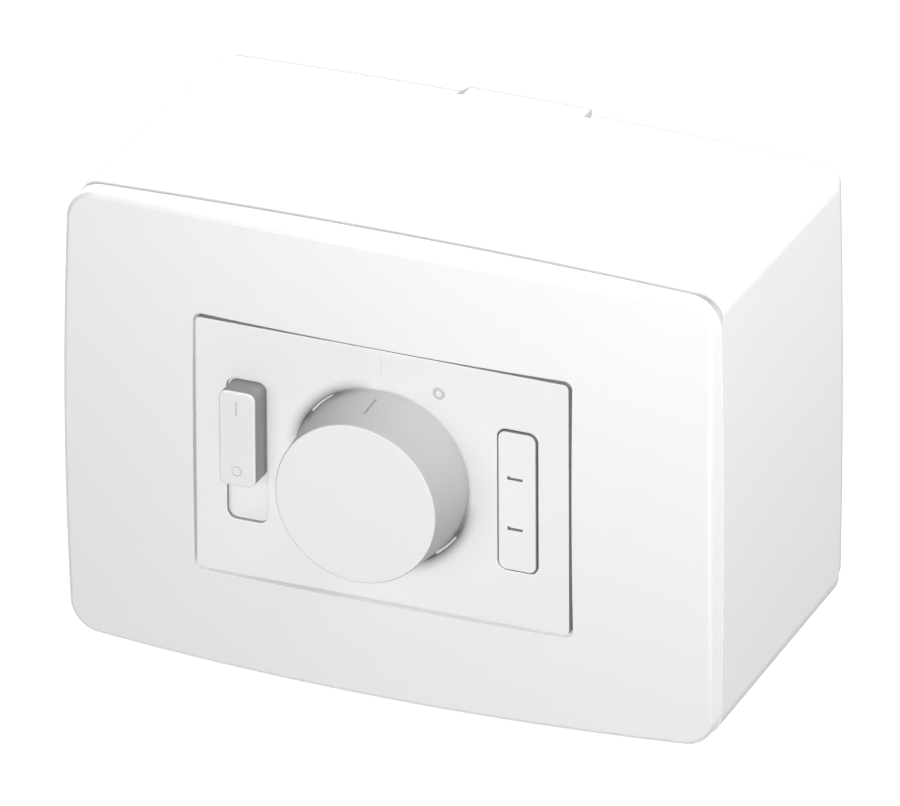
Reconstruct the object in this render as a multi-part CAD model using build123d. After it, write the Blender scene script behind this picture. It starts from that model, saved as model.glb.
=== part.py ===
from build123d import *
from math import cos, degrees, radians, sin, sqrt
import os

# Fan control unit for surface mounting: a wall box, a bowed cover plate and a
# three-module speed regulator with a slide switch.
# Sizes are in millimetres. Every piece is drawn on the bench with X to the right,
# Y up and Z out of the wall, and placed() then turns it so that Z is up and the
# front looks towards -Y. The origin is the middle of the face on the wall.

# Stack, measured out from the wall
WALL_TO_FACE = 63.5
PANEL_THICKNESS = 2.0
PLATE_RIM_BEHIND_FACE = 6.4
SHADOW_GAP = 1.1
DOME_RISE = 1.0

# Cover plate
PLATE_WIDTH = 117.5
PLATE_HEIGHT = 83.9
PLATE_SIDE_BOW = 0.45
PLATE_LONG_BOW = 1.1
PLATE_CORNER = 5.5
PLATE_WALL = 1.6
PLATE_EDGE_ROUND = 0.9
DOME_RADIUS = 600.0
WINDOW_GAP = 0.5
SNAP_FROM_EDGE = 8.2
SNAP_WIDTH = 5.0
SNAP_THICKNESS = 1.6
SNAP_BARB = 0.6
SNAP_BARB_LENGTH = 1.6
SNAP_CLEARANCE = 0.25

# Wall box
BOX_INSET = 0.3
BOX_WALL = 2.5
BOX_BACK = 2.5
BOX_FRONT_CORNER = 3.8
BOX_REAR_CORNER = 4.2
BOX_SIDE_DRAFT = 0.9
BOX_TOP_DRAFT = 0.2
BOX_BOTTOM_DRAFT = 1.2
REAR_RIM_INSET = 1.1
REAR_RIM_LENGTH = 3.4
PAD_WIDTH = 22.0
PAD_SLOPE = 1.3
LIP_CLEARANCE = 0.2
LIP_LENGTH = 2.4
POST_OUTSIDE_PANEL = 8.0
POST_RADIUS = 4.0
POST_RIB = 1.6
POST_RIB_BELOW_TOP = 12.0
FIXING_SPACING_X = 84.0
FIXING_SPACING_Y = 50.0
FIXING_RADIUS = 2.25
FIXING_PAD_RADIUS = 5.0
FIXING_PAD_HEIGHT = 1.0
ENTRY_RADIUS = 10.0
ENTRY_BELOW_CENTRE = 20.0

# Control panel
PANEL_WIDTH = 67.5
PANEL_HEIGHT = 46.5
PANEL_CORNER = 1.0
PANEL_EDGE_ROUND = 0.15
SKIRT_INSET = 1.0
SKIRT_WALL = 1.4
SKIRT_DEPTH = 7.4
SLOT_FROM_EDGE = 9.25
SLOT_WIDTH = 7.4
SLOT_HEIGHT = 26.2
SLOT_CORNER = 1.7
POCKET_DEPTH = 1.1
BOSS_X = 16.0
BOSS_Y = 16.7
BOSS_RADIUS = 2.6
CATCH_WIDTH = 6.0
CATCH_X = 22.0
CATCH_HOLD = 0.5
CATCH_CLEARANCE = 0.2

# Support frame
FRAME_BOX_GAP = 2.6
FRAME_CORNER = 4.0
FRAME_PLATE = 2.0
FRAME_COLLAR = 2.9
FRAME_CLEARANCE = 0.3
FRAME_DEPTH = 5.7
FRAME_SLOT_LENGTH = 7.0

# Knob and potentiometer
KNOB_HEIGHT = 11.3
KNOB_FRONT_RADIUS = 14.5
KNOB_BASE_RADIUS = 15.5
KNOB_WALL = 1.6
KNOB_EDGE_ROUND = 0.35
KNOB_SUNK = 0.7
KNOB_GAP = 0.6
KNOB_FLOOR_GAP = 0.3
INDEX_FROM = 2.3
INDEX_TO = 7.2
INDEX_WIDTH = 0.5
INDEX_DEPTH = 0.35
HUB_RADIUS = 5.0
KNOB_RIBS = 6
KNOB_RIB_WIDTH = 1.2
CLIP_WIRE = 0.6
CLIP_WIDTH = 2.0
CLIP_OPENING = 40.0
SHAFT_RADIUS = 3.0
SHAFT_FLAT = 1.5
SHAFT_RUNNING_GAP = 0.04
SHAFT_IN_BODY = 4.0
BUSHING_RADIUS = 3.5
BUSHING_LENGTH = 5.0
WASHER_RADIUS = 6.0
WASHER_THICKNESS = 0.5
NUT_ACROSS_FLATS = 10.0
NUT_THICKNESS = 2.0
THREAD_GAP = 0.05
POT_RADIUS = 8.0
POT_HEIGHT = 6.5

# Slide switch
SLIDER_HEIGHT = 17.4
SLIDER_PROUD = 4.2
SLIDER_CORNER = 1.4
SLIDER_EDGE_ROUND = 0.35
SLIDER_SIDE_GAP = 0.45
SLIDER_END_GAP = 0.4
SLIDER_FLOOR_GAP = 0.2
STEM_WIDTH = 2.4
STEM_HEIGHT = 5.0
STEM_BELOW_TOP = 3.5
STEM_GAP = 0.2
SHUTTER_THICKNESS = 0.8
SHUTTER_WIDTH = 4.2
SHUTTER_LAP = 0.6
TONGUE_WIDTH = 2.0
TONGUE_LENGTH = 3.0
TONGUE_DEPTH = 2.4
SWITCH_WIDTH = 7.0
SWITCH_END_WALL = 5.5
SWITCH_BEHIND_SHUTTER = 0.5

# Blank plug
PLUG_GAP = 0.2
PLUG_PROUD = 0.2
PLUG_EDGE_ROUND = 0.15
PLUG_FLANGE = 1.0
PLUG_FLANGE_THICKNESS = 1.2
GROOVE_LENGTH = 2.8
GROOVE_WIDTH = 0.7
GROOVE_DEPTH = 0.4
GROOVE_LEFT_OF_MIDDLE = 0.4
GROOVE_UPPER = 4.2
GROOVE_LOWER = -5.1

# Screws
BOARD_SCREW_RADIUS = 1.1
BOARD_SCREW_LENGTH = 6.0
FRAME_SCREW_RADIUS = 1.5
FRAME_SCREW_LENGTH = 12.0
SCREW_HEAD_SCALE = 2.0
SCREW_HEAD_HEIGHT = 1.6
SCREW_SLOT_WIDTH = 0.6
SCREW_SLOT_DEPTH = 0.7
SCREW_END_ROOM = 1.0
SCREW_HOLE_GAP = 0.2

# Circuit board and what it carries on its back
BOARD_GAP = 1.8
BOARD_THICKNESS = 1.6
LEAD = 0.8
TERMINAL_COUNT = 4
TERMINAL_PITCH = 5.0
TERMINAL_WALL = 0.75
TERMINAL_DEPTH = 10.0
TERMINAL_HEIGHT = 11.0
TERMINAL_X = 15.0
TERMINAL_Y = -8.5
TERMINAL_ENTRY_WIDTH = 3.4
TERMINAL_ENTRY_HEIGHT = 5.0
TERMINAL_ENTRY_DEPTH = 7.5
TERMINAL_ENTRY_LEVEL = 3.0
TERMINAL_SCREW_RADIUS = 1.0
TERMINAL_HEAD_RADIUS = 1.7
CLAMP_GAP = 0.1
CLAMP_WALL = 0.5
CLAMP_LENGTH = 4.0
CHOKE_X = -19.5
CHOKE_Y = -6.0
CHOKE_OUTER = 7.0
CHOKE_INNER = 3.5
CHOKE_THICKNESS = 5.0
WINDING_WIRE = 0.9
WINDING_GAP = 0.1
WINDING_OPENING = 50.0
CAPACITOR_LENGTH = 17.0
CAPACITOR_WIDTH = 6.0
CAPACITOR_HEIGHT = 10.0
CAPACITOR_ROUND = 0.5
LEVEL_CAPACITOR_X = -18.0
LEVEL_CAPACITOR_Y = 5.3
UPRIGHT_CAPACITOR_X = -2.5
UPRIGHT_CAPACITOR_Y = -5.0
FUSE_RADIUS = 2.6
FUSE_GLASS_RADIUS = 2.4
FUSE_LENGTH = 20.0
FUSE_CAP_LENGTH = 5.0
FUSE_X = -15.0
FUSE_Y = 12.0
FUSE_ABOVE_BOARD = 4.0
CLIP_SHEET = 0.6
CLIP_LENGTH = 4.0
SINK_WIDTH = 20.0
SINK_FIN_LENGTH = 5.4
SINK_HEIGHT = 18.0
SINK_SHEET = 1.6
SINK_FINS = 5
SINK_X = 17.0
SINK_Y = 7.0
SINK_SCREW_LEVEL = 14.0
TRIAC_WIDTH = 10.0
TRIAC_TAB = 1.3
TRIAC_BODY = 4.4
TRIAC_BODY_HEIGHT = 9.0
TRIAC_ABOVE_BOARD = 2.0
TRIAC_LEAD_PITCH = 2.54
RESISTOR_RADIUS = 1.2
RESISTOR_LENGTH = 6.5
RESISTOR_PITCH = 4.0
RESISTOR_COUNT = 3
RESISTOR_X = 0.5
RESISTOR_Y = 12.0
RESISTOR_ABOVE_BOARD = 2.2

# Levels out from the wall that follow from the stack
PANEL_BACK = WALL_TO_FACE - PANEL_THICKNESS
PLATE_RIM = WALL_TO_FACE - PLATE_RIM_BEHIND_FACE
DOME_TOP = WALL_TO_FACE + DOME_RISE
BOX_FRONT = PLATE_RIM - SHADOW_GAP
FRAME_BACK = PANEL_BACK - FRAME_DEPTH
FRAME_FRONT = FRAME_BACK + FRAME_PLATE
KNOB_BACK = WALL_TO_FACE - KNOB_SUNK
KNOB_TOP = WALL_TO_FACE + KNOB_HEIGHT
KNOB_CEILING = KNOB_TOP - KNOB_WALL
RECESS_FLOOR = KNOB_BACK - KNOB_FLOOR_GAP
POCKET_FLOOR = WALL_TO_FACE - POCKET_DEPTH
BOARD_FRONT = PANEL_BACK - POT_HEIGHT
BOARD_BACK = BOARD_FRONT - BOARD_THICKNESS
BUSHING_TOP = PANEL_BACK + BUSHING_LENGTH
HUB_BACK = BUSHING_TOP + KNOB_FLOOR_GAP
CLIP_BACK = HUB_BACK + KNOB_FLOOR_GAP
CLIP_FRONT = CLIP_BACK + CLIP_WIDTH
SHAFT_END = KNOB_CEILING - KNOB_FLOOR_GAP
SHUTTER_FRONT = PANEL_BACK - STEM_GAP
SHUTTER_BACK = SHUTTER_FRONT - SHUTTER_THICKNESS
SWITCH_FRONT = SHUTTER_BACK - SWITCH_BEHIND_SHUTTER
TERMINAL_BACK = BOARD_BACK - TERMINAL_HEIGHT
ENTRY_TOP = BOARD_BACK - TERMINAL_ENTRY_LEVEL
ENTRY_BOTTOM = ENTRY_TOP - TERMINAL_ENTRY_HEIGHT

# Sizes and places in the panel's plane
SKIRT_WIDTH = PANEL_WIDTH - 2 * SKIRT_INSET
SKIRT_HEIGHT = PANEL_HEIGHT - 2 * SKIRT_INSET
POST_SPACING = PANEL_WIDTH + 2 * POST_OUTSIDE_PANEL
FRAME_WIDTH = PLATE_WIDTH - 2 * (BOX_INSET + BOX_WALL + FRAME_BOX_GAP)
FRAME_HEIGHT = PLATE_HEIGHT - 2 * (BOX_INSET + BOX_WALL + FRAME_BOX_GAP)
SNAP_X = FRAME_WIDTH / 2 - SNAP_FROM_EDGE
SNAP_Y = FRAME_HEIGHT / 2 - SNAP_FROM_EDGE
BOARD_WIDTH = SKIRT_WIDTH - 2 * (SKIRT_WALL + BOARD_GAP)
BOARD_HEIGHT = SKIRT_HEIGHT - 2 * (SKIRT_WALL + BOARD_GAP)
SWITCH_X = SLOT_FROM_EDGE - PANEL_WIDTH / 2
PLUG_X = PANEL_WIDTH / 2 - SLOT_FROM_EDGE
SLIDER_WIDTH = SLOT_WIDTH - 2 * SLIDER_SIDE_GAP
SLIDER_TRAVEL = SLOT_HEIGHT - SLIDER_HEIGHT - 2 * SLIDER_END_GAP
SLIDER_TOP = SLOT_HEIGHT / 2 - SLIDER_END_GAP
SLIDER_MIDDLE = SLIDER_TOP - SLIDER_HEIGHT / 2
STEM_MIDDLE = SLIDER_TOP - STEM_BELOW_TOP - STEM_HEIGHT / 2
SLIT_HEIGHT = STEM_HEIGHT + SLIDER_TRAVEL + 2 * STEM_GAP
SLIT_MIDDLE = STEM_MIDDLE - SLIDER_TRAVEL / 2
TERMINAL_FOOT_Y = TERMINAL_Y - TERMINAL_DEPTH / 2
CLAMP_Y = TERMINAL_FOOT_Y + TERMINAL_ENTRY_DEPTH - CLAMP_LENGTH / 2 - CLAMP_GAP
CORNERS = ((-1, -1), (1, -1), (-1, 1), (1, 1))


def placed(shape):
    """Turn a piece from the bench to its place on the wall."""
    return Rot(90, 0, 0) * shape


def slab(sketch, low, high):
    """Extrude a sketch from one level out from the wall to another."""
    return extrude(Pos(0, 0, low) * sketch, high - low)


def block(x, y, width, height, low, high):
    """Rectangular block between two levels."""
    return slab(Pos(x, y) * Rectangle(width, height), low, high)


def disc(x, y, radius, low, high):
    """Round bar out from the wall between two levels."""
    return slab(Pos(x, y) * Circle(radius), low, high)


def ring(outer, inner, low, high):
    """Tube about the knob's axis between two levels."""
    return slab(Circle(outer) - Circle(inner), low, high)


def wedge(angle, radius, low, high):
    """Sector of a disc on the side towards -Y, used to open a ring."""
    start = 270 - angle / 2
    left = (radius * cos(radians(start)), radius * sin(radians(start)))
    right = (-left[0], left[1])
    return slab(make_face(Polyline((0, 0), left, right, close=True)), low, high)


# Cover plate

def bowed(width, height, radius):
    """Rectangle whose four edges bow outwards, with rounded corners."""
    half_w = width / 2
    half_h = height / 2
    edge_x = half_w - PLATE_SIDE_BOW
    edge_y = half_h - PLATE_LONG_BOW
    top = ThreePointArc((-edge_x, edge_y), (0, half_h), (edge_x, edge_y))
    right = ThreePointArc((edge_x, edge_y), (half_w, 0), (edge_x, -edge_y))
    bottom = ThreePointArc((edge_x, -edge_y), (0, -half_h), (-edge_x, -edge_y))
    left = ThreePointArc((-edge_x, -edge_y), (-half_w, 0), (-edge_x, edge_y))
    outline = make_face([top, right, bottom, left])
    return fillet(outline.vertices(), radius)


def plate_outline(inset):
    """Outline of the cover plate, drawn in by an inset."""
    width = PLATE_WIDTH - 2 * inset
    height = PLATE_HEIGHT - 2 * inset
    return bowed(width, height, PLATE_CORNER - inset)


def dome(inset):
    """Ball whose cap is the plate's front, drawn in by an inset."""
    return Pos(0, 0, DOME_TOP - DOME_RADIUS) * Sphere(DOME_RADIUS - inset)


def dome_level(x, y, inset):
    """Level of the domed surface over a place in the plate's plane."""
    ball = DOME_RADIUS - inset
    return DOME_TOP - DOME_RADIUS + sqrt(ball ** 2 - x ** 2 - y ** 2)


def window(extra):
    """Outline of the plate's window, widened by an extra on each side."""
    width = PANEL_WIDTH + 2 * (WINDOW_GAP + extra)
    height = PANEL_HEIGHT + 2 * (WINDOW_GAP + extra)
    return RectangleRounded(width, height, PANEL_CORNER + WINDOW_GAP + extra)


def opening(extra):
    """Outline of the frame's opening for the panel's skirt, widened by an extra."""
    width = SKIRT_WIDTH + 2 * (FRAME_CLEARANCE + extra)
    height = SKIRT_HEIGHT + 2 * (FRAME_CLEARANCE + extra)
    return RectangleRounded(width, height, PANEL_CORNER + extra)


def snap_tab(side):
    """Tab behind the plate, with a barb that catches behind the frame."""
    root = dome_level(SNAP_X + SNAP_WIDTH, SNAP_Y + SNAP_THICKNESS, PLATE_WALL) + PLATE_WALL / 2
    catch = FRAME_BACK - SNAP_CLEARANCE
    tip = catch - SNAP_BARB_LENGTH
    half = SNAP_THICKNESS / 2
    tab = block(0, 0, SNAP_WIDTH, SNAP_THICKNESS, tip, root)
    profile = Polyline((0, tip), (half, tip), (half + SNAP_BARB, catch), (0, catch), close=True)
    tab += extrude(Plane.YZ * make_face(profile), SNAP_WIDTH / 2, both=True)
    if side < 0:
        tab = mirror(tab, Plane.XZ)
    return tab


def cover_plate():
    """Domed plate with a skirt, a seat round its window and four snap tabs."""
    outer = slab(plate_outline(0), PLATE_RIM, DOME_TOP + DOME_RISE) & dome(0)
    front = outer.faces().sort_by(Axis.Z)[-1]
    outer = fillet(front.edges(), PLATE_EDGE_ROUND)
    inner = slab(plate_outline(PLATE_WALL), PLATE_RIM, DOME_TOP) & dome(PLATE_WALL)
    seat_width = FRAME_COLLAR + FRAME_CLEARANCE - SKIRT_INSET - WINDOW_GAP
    seat = slab(window(seat_width), PANEL_BACK, DOME_TOP) & dome(PLATE_WALL / 2)
    plate = outer - inner + seat
    plate -= slab(window(seat_width + SNAP_CLEARANCE), PLATE_RIM, PANEL_BACK)
    plate -= slab(window(0), PLATE_RIM, DOME_TOP + DOME_RISE)
    for side_x, side_y in CORNERS:
        plate += Pos(side_x * SNAP_X, side_y * SNAP_Y, 0) * snap_tab(side_y)
    return plate


# Wall box

def box_section(inset, share):
    """Outline of the box drawn in by an inset: share 0 at its front, 1 at its rear."""
    width = PLATE_WIDTH - 2 * (BOX_INSET + inset + share * BOX_SIDE_DRAFT)
    height = PLATE_HEIGHT - 2 * (BOX_INSET + inset) - share * (BOX_TOP_DRAFT + BOX_BOTTOM_DRAFT)
    rise = share * (BOX_BOTTOM_DRAFT - BOX_TOP_DRAFT) / 2
    corner = BOX_FRONT_CORNER + share * (BOX_REAR_CORNER - BOX_FRONT_CORNER) - inset
    return Pos(0, rise) * bowed(width, height, corner)


def box_block(inset, low):
    """Tapered block from a low level to the box's front."""
    rear = Pos(0, 0, low) * box_section(inset, 1)
    front = Pos(0, 0, BOX_FRONT) * box_section(inset, 0)
    return loft([rear, front], ruled=True)


def entry_pads():
    """The outer wall carried on to the wall plane at the middle, with sloped ends."""
    half = PAD_WIDTH / 2
    profile = Polyline(
        (-half - PAD_SLOPE, REAR_RIM_LENGTH),
        (-half, 0),
        (half, 0),
        (half + PAD_SLOPE, REAR_RIM_LENGTH),
        close=True,
    )
    strip = extrude(Plane.XZ * make_face(profile), PLATE_HEIGHT, both=True)
    return slab(box_section(0, 1), 0, REAR_RIM_LENGTH) & strip


def frame_post(side):
    """Post that carries the frame, tied to the side wall by a rib."""
    post = disc(side * POST_SPACING / 2, 0, POST_RADIUS, BOX_BACK / 2, FRAME_BACK)
    wall_x = PLATE_WIDTH / 2 - BOX_INSET - BOX_SIDE_DRAFT - BOX_WALL / 2
    length = wall_x - POST_SPACING / 2
    middle = side * (POST_SPACING / 2 + length / 2)
    rib_top = FRAME_BACK - POST_RIB_BELOW_TOP
    return post + block(middle, 0, length, POST_RIB, BOX_BACK / 2, rib_top)


def wall_box():
    """Tapered box with a stepped rim, a lip for the plate, posts and fixing pads."""
    lip_top = BOX_FRONT + LIP_LENGTH
    box = box_block(0, REAR_RIM_LENGTH)
    box += slab(box_section(REAR_RIM_INSET, 1), 0, REAR_RIM_LENGTH)
    box += entry_pads()
    box += slab(plate_outline(PLATE_WALL + LIP_CLEARANCE), BOX_FRONT, lip_top)
    box -= box_block(BOX_WALL, BOX_BACK)
    box -= slab(box_section(BOX_WALL, 0), BOX_FRONT, lip_top)
    hole_bottom = FRAME_FRONT - FRAME_SCREW_LENGTH - SCREW_END_ROOM
    hole_radius = FRAME_SCREW_RADIUS + THREAD_GAP
    for side in (-1, 1):
        box += frame_post(side)
        box -= disc(side * POST_SPACING / 2, 0, hole_radius, hole_bottom, FRAME_BACK)
    for side_x, side_y in CORNERS:
        x = side_x * FIXING_SPACING_X / 2
        y = side_y * FIXING_SPACING_Y / 2
        box += disc(x, y, FIXING_PAD_RADIUS, BOX_BACK / 2, BOX_BACK + FIXING_PAD_HEIGHT)
        box -= disc(x, y, FIXING_RADIUS, 0, BOX_BACK + FIXING_PAD_HEIGHT)
    box -= disc(0, -ENTRY_BELOW_CENTRE, ENTRY_RADIUS, 0, BOX_BACK)
    return box


# Support frame

def support_frame():
    """Flat frame with a collar that the panel's edge and the plate's seat rest on."""
    frame = slab(RectangleRounded(FRAME_WIDTH, FRAME_HEIGHT, FRAME_CORNER), FRAME_BACK, FRAME_FRONT)
    frame += slab(opening(FRAME_COLLAR), FRAME_BACK, PANEL_BACK)
    frame -= slab(opening(0), FRAME_BACK, PANEL_BACK)
    slot_height = 2 * (FRAME_SCREW_RADIUS + SCREW_HOLE_GAP)
    for side in (-1, 1):
        slot = Pos(side * POST_SPACING / 2, 0) * SlotOverall(FRAME_SLOT_LENGTH, slot_height)
        frame -= slab(slot, FRAME_BACK, FRAME_FRONT)
    for side_x, side_y in CORNERS:
        width = SNAP_WIDTH + 2 * SNAP_CLEARANCE
        height = SNAP_THICKNESS + 2 * SNAP_CLEARANCE
        frame -= block(side_x * SNAP_X, side_y * SNAP_Y, width, height, FRAME_BACK, FRAME_FRONT)
    return frame


def screw(radius, length, head_back):
    """Slotted pan-head screw that points towards -Z, its head seated at a level."""
    head_top = head_back + SCREW_HEAD_HEIGHT
    head_radius = radius * SCREW_HEAD_SCALE
    body = disc(0, 0, radius, head_back - length, head_back)
    body += disc(0, 0, head_radius, head_back, head_top)
    slot_bottom = head_top - SCREW_SLOT_DEPTH
    body -= block(0, 0, 2 * head_radius, SCREW_SLOT_WIDTH, slot_bottom, head_top)
    return body


def frame_screws():
    """Two screws through the frame into the box's posts."""
    one = screw(FRAME_SCREW_RADIUS, FRAME_SCREW_LENGTH, FRAME_FRONT)
    return [Pos(side * POST_SPACING / 2, 0, 0) * one for side in (-1, 1)]


# Control panel

def panel_slot(x):
    """Outline of one of the two upright slots."""
    return Pos(x, 0) * RectangleRounded(SLOT_WIDTH, SLOT_HEIGHT, SLOT_CORNER)


def panel_catch(side):
    """Wedge on the skirt that catches behind the frame's collar."""
    foot = SKIRT_HEIGHT / 2
    root = foot - SKIRT_WALL
    reach = foot + FRAME_CLEARANCE + CATCH_HOLD
    level = FRAME_BACK - CATCH_CLEARANCE
    end = PANEL_BACK - SKIRT_DEPTH
    profile = Polyline((root, end), (foot, end), (reach, level), (root, level), close=True)
    catch = extrude(Plane.YZ * make_face(profile), CATCH_WIDTH / 2, both=True)
    if side < 0:
        catch = mirror(catch, Plane.XZ)
    return catch


def control_panel():
    """Flat face with a skirt, a round recess, a pocket, a slot and four bosses."""
    skirt_end = PANEL_BACK - SKIRT_DEPTH
    panel = slab(RectangleRounded(PANEL_WIDTH, PANEL_HEIGHT, PANEL_CORNER), PANEL_BACK, WALL_TO_FACE)
    panel -= disc(0, 0, KNOB_BASE_RADIUS + KNOB_GAP, RECESS_FLOOR, WALL_TO_FACE)
    panel -= slab(panel_slot(SWITCH_X), POCKET_FLOOR, WALL_TO_FACE)
    panel -= slab(panel_slot(PLUG_X), PANEL_BACK, WALL_TO_FACE)
    face = panel.faces().sort_by(Axis.Z)[-1]
    panel = fillet(face.edges(), PANEL_EDGE_ROUND)
    panel -= disc(0, 0, BUSHING_RADIUS + 2 * THREAD_GAP, PANEL_BACK, WALL_TO_FACE)
    panel -= block(SWITCH_X, SLIT_MIDDLE, STEM_WIDTH + 2 * STEM_GAP, SLIT_HEIGHT, PANEL_BACK, WALL_TO_FACE)
    inside_w = SKIRT_WIDTH - 2 * SKIRT_WALL
    inside_h = SKIRT_HEIGHT - 2 * SKIRT_WALL
    skirt = RectangleRounded(SKIRT_WIDTH, SKIRT_HEIGHT, PANEL_CORNER) - Rectangle(inside_w, inside_h)
    panel += slab(skirt, skirt_end, PANEL_BACK)
    for side_x, side_y in CORNERS:
        panel += Pos(side_x * CATCH_X, 0, 0) * panel_catch(side_y)
        panel += disc(side_x * BOSS_X, side_y * BOSS_Y, BOSS_RADIUS, BOARD_FRONT, PANEL_BACK)
        hole = BOARD_SCREW_RADIUS + THREAD_GAP
        panel -= disc(side_x * BOSS_X, side_y * BOSS_Y, hole, BOARD_FRONT, PANEL_BACK)
    return panel


def groove(level):
    """Short upright-sided groove in the plug's face."""
    front = WALL_TO_FACE + PLUG_PROUD
    x = PLUG_X - GROOVE_LEFT_OF_MIDDLE
    return block(x, level, GROOVE_LENGTH, GROOVE_WIDTH, front - GROOVE_DEPTH, front)


def blank_plug():
    """Plug for the right slot, held by a flange behind the panel."""
    front = WALL_TO_FACE + PLUG_PROUD
    width = SLOT_WIDTH - 2 * PLUG_GAP
    height = SLOT_HEIGHT - 2 * PLUG_GAP
    head = slab(RectangleRounded(width, height, SLOT_CORNER - PLUG_GAP), PANEL_BACK, front)
    head = fillet(head.faces().sort_by(Axis.Z)[-1].edges(), PLUG_EDGE_ROUND)
    wide = RectangleRounded(width + 2 * PLUG_FLANGE, height + 2 * PLUG_FLANGE, SLOT_CORNER)
    head += slab(wide, PANEL_BACK - PLUG_FLANGE_THICKNESS, PANEL_BACK)
    plug = Pos(PLUG_X, 0, 0) * head
    return plug - groove(GROOVE_UPPER) - groove(GROOVE_LOWER)


# Knob and potentiometer

def knob_radius(level):
    """Outer radius of the knob's tapered side at a level."""
    slope = (KNOB_BASE_RADIUS - KNOB_FRONT_RADIUS) / KNOB_HEIGHT
    return KNOB_BASE_RADIUS - slope * (level - WALL_TO_FACE)


def cone(inset, low, high):
    """Tapered block that follows the knob's side, drawn in by an inset."""
    profile = Polyline(
        (0, low),
        (knob_radius(low) - inset, low),
        (knob_radius(high) - inset, high),
        (0, high),
        close=True,
    )
    return revolve(Plane.XZ * make_face(profile), Axis.Z)


def shaft_outline(gap):
    """Round shaft with a flat on the side towards -Y, widened by a gap."""
    size = 4 * SHAFT_RADIUS
    flat = SHAFT_RADIUS - SHAFT_FLAT + gap
    return Circle(SHAFT_RADIUS + gap) - Pos(0, -flat - size / 2) * Rectangle(size, size)


def index_cut():
    """Line along the knob's side at twelve o'clock, cut to an even depth."""
    low = WALL_TO_FACE + INDEX_FROM
    high = WALL_TO_FACE + INDEX_TO
    arc = degrees(INDEX_WIDTH / KNOB_BASE_RADIUS)
    profile = Polyline(
        (knob_radius(low) - INDEX_DEPTH, low),
        (knob_radius(low) + INDEX_DEPTH, low),
        (knob_radius(high) + INDEX_DEPTH, high),
        (knob_radius(high) - INDEX_DEPTH, high),
        close=True,
    )
    line = revolve(Plane.XZ * make_face(profile), Axis.Z, arc)
    return Rot(0, 0, 90 - arc / 2) * line


def knob():
    """Hollow tapered knob with a hub for the shaft and stiffening ribs."""
    body = cone(0, KNOB_BACK, KNOB_TOP)
    body = fillet(body.faces().sort_by(Axis.Z)[-1].edges(), KNOB_EDGE_ROUND)
    body -= cone(KNOB_WALL, KNOB_BACK, KNOB_CEILING)
    inside = cone(KNOB_WALL / 2, KNOB_BACK, KNOB_CEILING)
    rib_back = CLIP_FRONT + KNOB_FLOOR_GAP
    rib = block(0, 0, 2 * KNOB_BASE_RADIUS, KNOB_RIB_WIDTH, rib_back, KNOB_CEILING)
    for turn in range(KNOB_RIBS // 2):
        body += (Rot(0, 0, turn * 360 / KNOB_RIBS) * rib) & inside
    body += disc(0, 0, HUB_RADIUS, HUB_BACK, KNOB_CEILING)
    body -= slab(shaft_outline(SHAFT_RUNNING_GAP), HUB_BACK, KNOB_CEILING)
    return body - index_cut()


def knob_clip():
    """Open spring ring round the knob's hub."""
    inner = HUB_RADIUS + THREAD_GAP
    outer = inner + CLIP_WIRE
    whole = ring(outer, inner, CLIP_BACK, CLIP_FRONT)
    return whole - wedge(CLIP_OPENING, 2 * outer, CLIP_BACK, CLIP_FRONT)


def control_shaft():
    """Shaft from the potentiometer's body to the knob, flat at its outer end."""
    shaft = disc(0, 0, SHAFT_RADIUS, PANEL_BACK - SHAFT_IN_BODY, BUSHING_TOP)
    return shaft + slab(shaft_outline(0), BUSHING_TOP, SHAFT_END)


def potentiometer_body():
    """Round body between the panel and the board, bored for the shaft."""
    bottom = PANEL_BACK - SHAFT_IN_BODY - 2 * THREAD_GAP
    body = disc(0, 0, POT_RADIUS, BOARD_FRONT, PANEL_BACK)
    return body - disc(0, 0, SHAFT_RADIUS + SHAFT_RUNNING_GAP, bottom, PANEL_BACK)


def bushing():
    """Plain sleeve of the potentiometer, through the panel."""
    return ring(BUSHING_RADIUS, SHAFT_RADIUS + SHAFT_RUNNING_GAP, PANEL_BACK, BUSHING_TOP)


def bushing_washer():
    """Washer on the recess floor."""
    inner = BUSHING_RADIUS + THREAD_GAP
    return ring(WASHER_RADIUS, inner, RECESS_FLOOR, RECESS_FLOOR + WASHER_THICKNESS)


def bushing_nut():
    """Hexagon nut that clamps the panel to the potentiometer."""
    low = RECESS_FLOOR + WASHER_THICKNESS
    hexagon = RegularPolygon(NUT_ACROSS_FLATS / 2, 6, major_radius=False)
    return slab(hexagon - Circle(BUSHING_RADIUS + THREAD_GAP), low, low + NUT_THICKNESS)


# Slide switch

def switch_slider():
    """Upright cap with a stem that reaches through the panel's slit."""
    low = POCKET_FLOOR + SLIDER_FLOOR_GAP
    outline = RectangleRounded(SLIDER_WIDTH, SLIDER_HEIGHT, SLIDER_CORNER)
    cap = slab(outline, low, WALL_TO_FACE + SLIDER_PROUD)
    cap = fillet(cap.faces().sort_by(Axis.Z)[-1].edges(), SLIDER_EDGE_ROUND)
    cap = Pos(SWITCH_X, SLIDER_MIDDLE, 0) * cap
    return cap + block(SWITCH_X, STEM_MIDDLE, STEM_WIDTH, STEM_HEIGHT, SHUTTER_BACK, low)


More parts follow.
